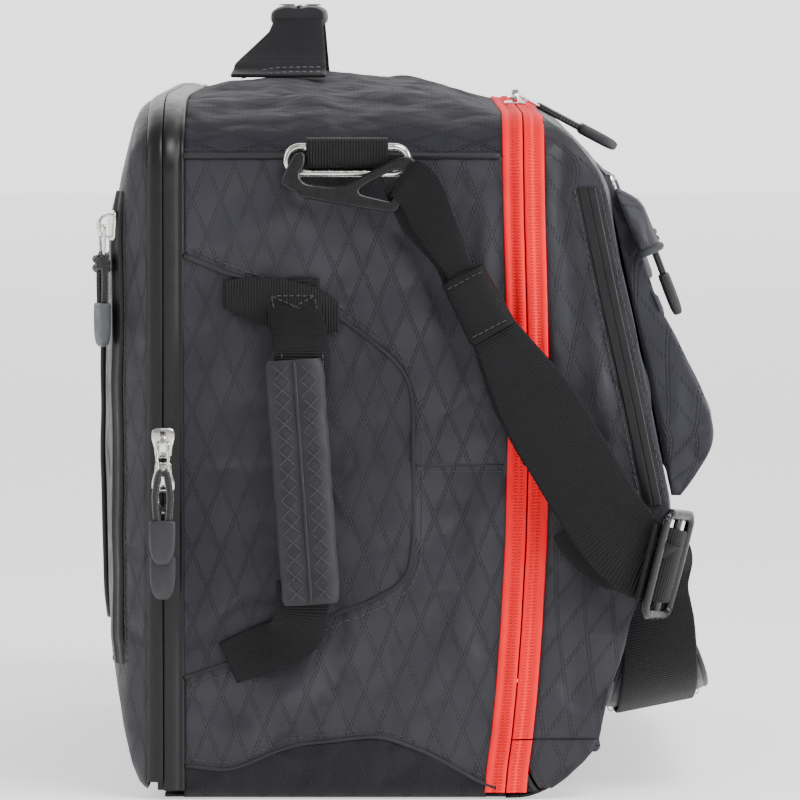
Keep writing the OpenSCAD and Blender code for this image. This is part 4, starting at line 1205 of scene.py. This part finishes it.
# ---------------------------------------------------------------- shoulder strap
for name, _, put in SIDES:
    web = Piece(f"strap_side_{name}", [WEB, THREAD])
    # outer run, from the hook's bar to the tri-glide
    path = curve([(-271.0, -29.6, 289), (-274.3, -33.5, 290.5), (-275.4, -40, 284), (-275.2, -48, 268),
                  (-274.9, -60, 245), (-275.2, -80, 210),
                  (-275.6, -104, 169), (-275.4, -126, 133), (-274.6, -139, 117), (-272.6, -147.2, 112.2)], 90)
    t = np.linspace(0, 1, 90)
    side = np.stack([0.35 * np.exp(-((t - 0.1) / 0.08) ** 2), 0.865 + 0 * t, -0.501 + 0 * t], -1)
    side[:, 1] = np.interp(t, [0, 0.08, 0.3, 0.86, 1], [0.45, 0.75, 0.865, 0.865, 0.30])
    side[:, 2] = np.interp(t, [0, 0.08, 0.3, 0.86, 1], [-0.89, -0.62, -0.5, -0.5, -0.95])
    width = np.interp(t, [0, 0.04, 0.1, 0.18, 0.24, 0.28, 0.38, 0.44, 0.54, 0.62, 1],
                      [18, 23, 24, 18, 13, 16, 20, 25, 34, 38, 38])
    web.add(put(ribbon(path, side, width, 1.5)))
    # the layer that comes back inside, bunched below the bar
    path = curve([(-271.0, -30.0, 289), (-268.6, -33, 284), (-268.0, -41, 271), (-268.3, -50, 257),
                  (-269.4, -58, 243), (-272.0, -66, 230), (-273.4, -82, 203), (-273.6, -104, 166)], 60)
    t = np.linspace(0, 1, 60)
    width = np.interp(t, [0, 0.15, 0.3, 0.56, 0.66, 0.8, 1], [16, 21, 13, 19, 26, 35, 36])
    web.add(put(ribbon(path, (0, 0.865, -0.501), width, 1.4)))
    # the sewn sleeve that holds both layers
    mid = np.array([-271.9, -66.5, 232.5])
    d, s = np.array([0, -0.46, -0.888]), np.array([0, 0.888, -0.46])
    ang = np.linspace(0, 2 * math.pi, 49)
    rows, reach = [], np.array([-15.6, -15.3, -14, -9, 0, 9, 14, 15.3, 15.6])
    for k in reach:
        pinch = 0.93 if abs(k) > 15.5 else 1.0
        w, h = rounded_box(ang, (11.4 + 0.035 * k) * pinch, (6.0 + 0.25 * math.sin(k * 0.5)) * pinch, 0.55, 0.6)
        rows.append(mid + d * k + s * w[:, None] + np.array([-1, 0, 0]) * h[:, None])
    rows = np.array(rows)
    web.add(put(facing(sheet(rows, grid_uv(steps(rows[4]), reach)), mid)))
    for k in (-12.6, 12.6):
        row = np.array([mid + d * k + s * 9.6 + [-6.1, 0, 0], mid + d * k - s * 9.6 + [-6.1, 0, 0]])
        web.add(put(stitches(row, (-1, 0, 0), 2.2, 0.9, 0.25)), 1)
    web.make("shoulder_strap", [f"strap_webbing_{name}"], "webbing")

# ---------------------------------------------------------------- the strap's hooks
HOOK_OUT = [(15, 303), (13.5, 302), (13.8, 297), (16.2, 293.5), (16, 290.5), (13, 288.2), (0.5, 286.8), (-6, 288),
            (-25.5, 299),
            (-32.3, 300.6), (-36, 300.8), (-37.8, 298.5), (-30.2, 276), (-25.6, 274.8), (17.2, 282), (18, 284),
            (24.8, 287.8),
            (24.8, 290.5), (20, 300), (18, 302)]
HOOK_SLOT = [(-8, 284.6), (-33, 297.6), (-27.6, 280), (-22, 281.2)]


def rounded(points, rounds=3):
    """A closed outline with its corners cut round, run anticlockwise."""
    p = np.asarray(points, float)
    if np.sum(p[:, 0] * np.roll(p[:, 1], -1) - p[:, 1] * np.roll(p[:, 0], -1)) < 0:
        p = p[::-1]
    for _ in range(rounds):
        n = np.roll(p, -1, 0)
        p = np.stack([0.8 * p + 0.2 * n, 0.2 * p + 0.8 * n], 1).reshape(-1, 2)
    return p


def shrunk(p, d):
    t = np.roll(p, -1, 0) - np.roll(p, 1, 0)
    t /= np.linalg.norm(t, axis=1, keepdims=True)
    return p + np.stack([-t[:, 1], t[:, 0]], 1) * d


def plate(outer, hole, x0, x1, edge):
    """A flat plate with a slot and softened edges, between two X planes."""
    parts, rims = [], ((outer, 1.0), (hole, -1.0))
    for x, facing_x in ((x0, -1), (x1, 1)):
        rings = [shrunk(p, edge * k) for p, k in rims]
        flat = np.vstack(rings)
        loops = [[Vector((a, b, 0)) for a, b in ring] for ring in rings]
        v = np.stack([np.full(len(flat), x), flat[:, 0], flat[:, 1]], 1)
        parts.append(facing((v, [tuple(f) for f in tessellate_polygon(loops)], flat),
                            v.mean(0) - [facing_x * 50, 0, 0]))
    for p, k in rims:
        rows = [(x0, edge), (x0 + edge * 0.35, edge * 0.3), (x0 + edge, 0), (x1 - edge, 0),
                (x1 - edge * 0.35, edge * 0.3), (x1, edge)]
        grid = []
        for x, d in rows:
            q = shrunk(p, d * k)
            q = np.vstack([q, q[:1]])
            grid.append(np.stack([np.full(len(q), x), q[:, 0], q[:, 1]], 1))
        v, f, uv = facing(sheet(np.array(grid)), [(x0 + x1) / 2, *p.mean(0)])
        parts.append((v, f if k > 0 else [q[::-1] for q in f], uv))
    return parts


for name, _, put in SIDES:
    hook = Piece(f"hook_{name}_plate", [ANODISED])
    for part in plate(rounded(HOOK_OUT, 2), rounded(HOOK_SLOT), -273, -269, 0.9):
        hook.add(put(part))
    hook.add(put(tube([(-270, 17, 299), (-267, 17, 299), (-263.6, 17, 299)], 2.2, 16)))
    hook.make("shoulder_strap", [f"hook_{name}"], "hook_metal")


def turn_x(degrees):
    a = math.radians(degrees)
    return np.array([[1, 0, 0], [0, math.cos(a), -math.sin(a)], [0, math.sin(a), math.cos(a)]])


def turn_z(degrees):
    a = math.radians(degrees)
    return np.array([[math.cos(a), -math.sin(a), 0], [math.sin(a), math.cos(a), 0], [0, 0, 1]])


DROP = [(-243, 102), (-241.5, 86), (-237, 68), (-227, 53), (-209, 43), (-178, 37.5), (-110, 35), (0, 34.5)]
HANG = curve(DROP + [(-x, z) for x, z in DROP[-2::-1]], 300)
HANG_S = steps(HANG)


def hanging(s, w, out):
    """A point of the slack strap: s along it, w from -1 inside to 1 at its front edge, out below its outer face."""
    x, z = (np.interp(s, HANG_S, HANG[:, k]) for k in (0, 1))
    x2, z2 = (np.interp(s + 3, HANG_S, HANG[:, k]) - np.interp(s - 3, HANG_S, HANG[:, k]) for k in (0, 1))
    n = np.hypot(x2, z2)
    high = np.clip((z - 36) / 62, 0, 1)
    inner = -127.5 - 19 * high
    outer = -176 + 21 * high**1.5
    y = (inner + outer) / 2 - w * (inner - outer) / 2
    tilt = 0.21 * (-150 - y) * (1 - high)
    return np.stack([x + out * z2 / n, y + 0 * x, z + tilt - out * x2 / n], -1)


GLIDE_AT = (turn_x(14) @ turn_z(-25), np.array([-262, -155.5, 110.0]))


def on_glide(points):
    return np.asarray(points, float) @ GLIDE_AT[0].T + GLIDE_AT[1]


over_bar = [(-19, 3.6, 0), (-13.5, 3.2, 0), (-9.2, 1.4, 0), (-7, -1.4, 0), (-4, -3.1, 0), (0, -3.7, 0), (4, -3.1, 0),
            (7, -1.4, 0),
            (9.2, 1.4, 0), (13.5, 3.2, 0), (18.5, 3.9, 0)]
front = Piece("strap_front", [WEB, THREAD])
length = HANG_S[-1]
for put in (same, mirror_x):
    drop = hanging(np.linspace(9, length / 2, 60), 0.0, 1.2)
    path = curve(np.vstack([on_glide(over_bar), [(-243.6, -160.6, 107), (-243.2, -158.6, 101.5)], drop[::3]]), 200)
    s = steps(path)
    turn = np.clip((s - 30) / 42, 0, 1)
    turn = turn * turn * (3 - 2 * turn)
    side = np.stack([0.35 * np.sin(turn * math.pi), -0.24 - 0.75 * turn, 0.97 * (1 - turn) ** 1.2 + 0.2 * turn], -1)
    front.add(put(ribbon(path, side, np.interp(s, [0, 28, 44, 66, 110, 400], [37, 34, 25, 33, 37.5, 37.5]), 1.5)))
    tail = curve([on_glide([(-9.5, 4.6, -3)])[0], (-272.6, -141, 110), (-271.4, -130, 117), (-270.4, -121, 126),
                  (-270.2, -116, 134)], 30)
    front.add(put(ribbon(tail, (0.1, 0.80, -0.60), 36, 1.3)))
front.make("shoulder_strap", ["strap_front_webbing"], "webbing")

for name, _, put in SIDES:
    buckle = Piece(f"buckle_{name}", [GLIDE])
    a = np.linspace(0, math.pi / 2, 9)
    loop = []
    for cx, cz, s0 in ((1, 1, 0), (-1, 1, 1), (-1, -1, 2), (1, -1, 3)):
        for k in a:
            b = k + s0 * math.pi / 2
            loop.append((cx * 9.7 + 4.6 * math.cos(b), 0, cz * 19.4 + 4.6 * math.sin(b)))
    loop = np.array(loop + loop[:1])
    v, f, uv = tube(curve(loop, 160), 2.55, 14, False)
    v[:, 1] *= 0.82
    buckle.add(put((on_glide(v), f, uv)))
    v, f, uv = tube(np.array([(0, 0, z) for z in np.linspace(-23, 23, 20)]), 2.2, 14)
    v[:, 0] *= 1.35
    v[:, 1] *= 0.75
    buckle.add(put((on_glide(v), f, uv)))
    buckle.make("shoulder_strap", [f"tri_glide_{name}"], "glide_plastic")

ang = np.linspace(0, 2 * math.pi, 57)[:-1]
rows = []
pad_from, pad_to = 8.0, float(np.interp(95, HANG[:, 0], HANG_S))
for at in np.linspace(pad_from, pad_to, 110):
    end = np.clip(min(at - pad_from, pad_to - at) / 26, 0, 1)
    w = 0.62 + 0.38 * math.sin(end * math.pi / 2) ** 0.8
    h = 2.9 * (0.4 + 0.6 * math.sin(end * math.pi / 2) ** 0.6)
    c, o = rounded_box(ang, w, h, 0.6, 0.75)
    rows.append(hanging(np.full(56, at), c, o - 3.8))
P = np.array(rows)
cushion = Piece("strap_pad", [PAD_TOP, PAD_MESH, PIPING])
f = quads(110, 56, wrap=True)
f += [tuple(range(55, -1, -1)), tuple(109 * 56 + k for k in range(56))]
uv = np.stack([np.broadcast_to(steps(P[60])[None], (110, 56)), steps(P)], -1).reshape(-1, 2)
kinds = [0 if k >= 109 * 56 or k % 56 < 28 else 1 for k in range(len(f))]
cushion.add(facing((P.reshape(-1, 3), f, uv), P.mean((0, 1))), kinds)
obj = cushion.make("shoulder_strap", ["shoulder_pad"], "pad_fabric")
seams = [i for i in range(110 * 56) if i % 56 in (0, 28) or i < 56 or i >= 109 * 56]
puff(obj, seams, 4.0, 1.4)
binding = Piece("strap_pad_binding", [PIPING, THREAD])
edge = np.vstack([P[:, 0], P[-1, 1:28], P[::-1, 28], P[0, 28:0:-1], P[:1, 0]])
edge = curve(edge[::3], 400)
binding.add(tube(edge, 1.5, 8, False))
at = np.linspace(pad_from + 6, pad_to - 6, 120)
for w in (-0.86, 0.86):
    row = hanging(at, w, 0.15)
    binding.add(stitches(row, row - hanging(at, w, -1.0), 2.4, 1.0, 0.24), 1)
binding.make("shoulder_strap", [], "piping")

# ---------------------------------------------------------------- sliders and pulls
SLIDER_LIFT, BAR = 1.2, 5.6


def place(origin, out, along):
    """The matrix of a slider's frame: X across the zip, Y out of the cloth, Z along the zip."""
    out, along = np.asarray(out, float), np.asarray(along, float)
    out, along = out / np.linalg.norm(out), along / np.linalg.norm(along)
    return np.array([np.cross(out, along), out, along]).T, np.asarray(origin, float)


def moved(part, where):
    m, o = where
    v, f, uv = part
    return v @ m.T + o, f, uv


def slider_parts():
    """A cast slider: a waisted wedge, and an arched bridge over it."""
    zs = np.linspace(-7, 7, 23)
    half = np.interp(zs, [-7, -6, -2, 2, 5, 6.5, 7], [2.6, 3.9, 4.3, 5.4, 5.4, 4.6, 3.4])
    ang = np.linspace(0, 2 * math.pi, 25)
    rows = []
    for zc, w in zip(zs, half):
        end = math.sqrt(max(0.05, 1 - (abs(zc) / 7.05) ** 6))
        c, s = rounded_box(ang, w, 0.95 * end, 0.5, 0.6)
        rows.append(np.stack([c, SLIDER_LIFT + 0.75 + s, np.full(25, zc)], -1))
    p = np.array(rows)
    parts = capped(p, p.mean((0, 1)))
    top = SLIDER_LIFT + BAR + 1.75
    path = curve([(0, 2.2, -5.4), (0, 4.6, -5.6), (0, top - 0.9, -3.9), (0, top, -0.5), (0, top - 0.6, 3.0),
                  (0, 4.8, 5.0), (0, 2.2, 4.8)], 30)
    parts.append(ribbon(path, (1, 0, 0), 3.0, 1.25))
    return parts


def pull_parts(bends, knot):
    """Wire loop, doubled cord and moulded end, hung from the bar. bends are points down its centreline."""
    line = curve(bends, 80)
    s = steps(line)
    face = np.cross([1.0, 0, 0], unit(np.gradient(line, axis=0)))
    at = lambda d: np.array([np.interp(d, s, line[:, k]) for k in range(3)])
    cord, loop = [], []
    for d, w in [(0, 0), (0, 2.2), (0.2, 2.9), (1.5, 3.1), (5, 2.9), (10, 2.5), (14, 2.2), (15.6, 1.5), (16.2, 0)]:
        loop.append(at(d) + [w, 0, 0])
    loop += [p * [-1, 1, 1] for p in loop[-2:0:-1]] + loop[:1]
    for k in (-1, 1):
        ds = np.linspace(13.2, 39, 40)
        w = np.interp(ds, [13.2, 14.5, 18, 25, 31, 39], [0.5, 1.7, 2.6, 3.6, 3.3, 2.6])
        cord.append(tube([at(d) + [k * ww, 0, 0] for d, ww in zip(ds, w)], 1.65, 10))
    if knot:
        c = at(18.5)
        for k in (-1, 1):
            turn = [c + [3.5 * math.cos(a) + 0.8, 2.9 * math.sin(a), k * 1.7 + 1.2 * math.sin(a + k)]
                    for a in np.linspace(0, 2 * math.pi, 30)]
            cord.append(tube(turn, 1.6, 10))
    ang = np.linspace(0, 2 * math.pi, 33)
    rows = []
    prof = [(36.3, 0.3, 0.3), (36.4, 5.5, 2.2), (36.9, 6.0, 2.6), (38, 6.2, 2.75), (45, 6.2, 2.8), (50, 5.9, 2.75),
            (53.5, 5.0, 2.6),
            (55.8, 3.7, 2.2), (56.8, 2.1, 1.5), (57.05, 0.2, 0.2)]
    for d, w, h in prof:
        across, out = rounded_box(ang, w, h, 0.45, 0.5)
        rows.append(at(d) + across[:, None] * np.array([1, 0, 0]) + out[:, None] * face[min(79,
            int(np.searchsorted(s, d)))])
    p = np.array(rows)
    return [tube(curve(loop, 90), 0.75, 8)], cord, [facing(sheet(p), p.mean((0, 1)))]


DOWN_LINE = (0, 15, 30, 45, 60)
corner_out = np.array([-9.0, 22.0, 0.0])
corner_out /= np.linalg.norm(corner_out)
pocket_dir = np.array([0, 8.0, 21.0]) / math.hypot(8, 21)
pocket_out = np.array([0, -21.0, 8.0]) / math.hypot(8, 21)
pocket_mid = np.array([0, -139.0, 265.0]) + 0.5 * np.array([0, 8.0, 21.0]) + 0.6 * pocket_out
upper_hang = [(0, 6.8, 0), (0, 9.6, -8), (0, 12.2, -17), (0, 13.6, -27), (0, 13.8, -38), (0, 13.8, -62)]
places = []
for s, sx in (("left", -1), ("right", 1)):
    where = place((sx * 11, -88, 319.2), (0, 0, 1), (1, 0, 0) if sx > 0 else (-1, 0, 0))
    places.append((f"main_{{}}_{s}", f"main_slider_{s[0]}", f"main_pull_{s[0]}", where, None, False, RUBBER))
    origin = pocket_mid + np.array([sx * 212.0, 0, 0])
    where = place(origin, pocket_out, (-sx, 0, 0))
    places.append((f"pocket_{{}}_{s}", f"pocket_slider_{s[0]}", f"pocket_pull_{s[0]}", where, None, True,
                   RUBBER_GREY if s == "right" else RUBBER))
places.append(("rear_{}_upper", "rear_slider_upper_body", "rear_pull_upper_body",
               place((-261.2, 80, 167), (-1, 0, 0), (0, 0, 1)), upper_hang, False, RUBBER))
places.append(("rear_{}_lower", "rear_slider_lower_body", "rear_pull_lower_body",
               place((-261.2, 80, 151), (-1, 0, 0), (0, 0, -1)), None, False, RUBBER))
places.append(("rear_pocket_{}", "rear_pocket_slider_body", "rear_pocket_pull_body",
               place(np.array([-239.0, 101.5, 268]) + corner_out * 1.4, corner_out, (0, 0, 1)), None, True,
               RUBBER_GREY))


for label, slider_body, pull_body, where, hang, knot, end_mat in places:
    name = label.format("slider")
    piece = Piece(f"{name}_cast", [NICKEL])
    for part in slider_parts():
        piece.add(moved(part, where))
    piece.make(slider_body, [name], "slider_metal")
    turned, origin = where
    out = turned[:, 1]
    if label.startswith("main"):
        a = math.radians(28)
        hang_frame = place(origin + out * (SLIDER_LIFT + BAR), (0, -math.sin(a), math.cos(a)),
                           (0, math.cos(a), math.sin(a)))
        line = [(0, 0, -d) for d in DOWN_LINE]
    else:
        hang_frame = place(origin, out, pocket_dir if label.startswith("pocket") else (0, 0, 1))
        line = hang or [(0, SLIDER_LIFT + BAR, -d) for d in DOWN_LINE]
    name = label.format("pull")
    piece = Piece(f"{name}_cord", [NICKEL, CORD, end_mat])
    for mat, group in enumerate(pull_parts(line, knot)):
        for part in group:
            piece.add(moved(part, hang_frame), mat)
    piece.make(pull_body, [name], "pull_rubber")

# ---------------------------------------------------------------- CAD pieces that stay
for node, mat, width in [("strap_ring_left", NICKEL, 0), ("strap_ring_right", NICKEL, 0), ("base_board", BOARD, 0.8)]:
    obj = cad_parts[node]
    obj.data.materials.clear()
    obj.data.materials.append(mat)
    if width:
        mod = obj.modifiers.new("edge", "BEVEL")
        mod.width, mod.segments, mod.limit_method, mod.angle_limit = width * MM, 3, "ANGLE", math.radians(35)
        mod.harden_normals = True
    for poly in obj.data.polygons:
        poly.use_smooth = True
    mod = obj.modifiers.new("shading", "WEIGHTED_NORMAL")
    mod.keep_sharp = True

# ---------------------------------------------------------------- studio
f = Finish("floor", (0.86, 0.86, 0.87, 1), 0.7, Specular_IOR_Level=0.2, Emission_Color=(1, 1, 1, 1),
           Emission_Strength=0.78)
f.tint(f.noise(900, 2).fit(0.3, 0.7) * 0.3, (0.83, 0.83, 0.84, 1))
X, Y = np.meshgrid(np.linspace(-9500, 9500, 3), np.linspace(-13000, 13000, 3), indexing="ij")
Piece("floor", [f.mat]).add(sheet(np.stack([X, Y, 0 * X - 0.3], -1), None, (0, 0, 1))).make(None)

world = bpy.data.worlds.new("studio")
bpy.context.scene.world = world
world.use_nodes = True
world.node_tree.nodes["Background"].inputs[0].default_value = (1, 1, 1, 1)
world.node_tree.nodes["Background"].inputs[1].default_value = 0.42


def softbox(name, at, size, power):
    """An area light turned to the bag; places and sizes in metres, power in watts."""
    light = bpy.data.lights.new(name, "AREA")
    light.shape, light.size, light.size_y, light.energy = "RECTANGLE", size[0], size[1], power
    obj = bpy.data.objects.new(name, light)
    bpy.context.scene.collection.objects.link(obj)
    obj.location = at
    obj.rotation_mode = "QUATERNION"
    obj.rotation_quaternion = (Vector((-0.2, 0, 0.2)) - Vector(at)).to_track_quat("-Z", "Y")


softbox("key_top", (-1.2, -0.7, 1.7), (1.0, 1.0), 34)
softbox("side_rear", (-0.7, 1.7, 0.9), (0.4, 1.4), 11)
softbox("side_front", (-0.8, -1.8, 0.7), (0.4, 1.4), 34)

f = Finish("backdrop", (0.9, 0.9, 0.9, 1), 0.8, Emission_Color=(1, 1, 1, 1), Emission_Strength=1.9)
f.tint(f.noise(900, 2).fit(0.3, 0.7) * 0.2, (0.88, 0.88, 0.89, 1))
_, height, _ = f.coords()
f.tree.links.new(height.fit(0, 2600, 1.22, 1.9).socket, f.shader.inputs["Emission Strength"])
Y, Z = np.meshgrid(np.linspace(-13000, 13000, 3), np.linspace(-0.3, 13000, 3), indexing="ij")
wall = sheet(np.stack([9500 + 0 * Y, Y, Z], -1), np.stack([Y, Z], -1), (-1, 0, 0))
Piece("backdrop", [f.mat]).add(wall).make(None)

cam_data = bpy.data.cameras.new("camera")
cam = bpy.data.objects.new("camera", cam_data)
bpy.context.scene.collection.objects.link(cam)
bpy.context.scene.camera = cam
distance, elevation, view_width = 3.6, math.radians(3.2), 0.3735
target = Vector((-0.26, -0.0305, 0.187))
cam.location = target + Vector((-math.cos(elevation), 0, math.sin(elevation))) * distance
cam.rotation_mode = "QUATERNION"
cam.rotation_quaternion = (target - cam.location).to_track_quat("-Z", "Y")
cam_data.sensor_width = 36
cam_data.lens = cam_data.sensor_width * distance / view_width
cam_data.clip_end = 60
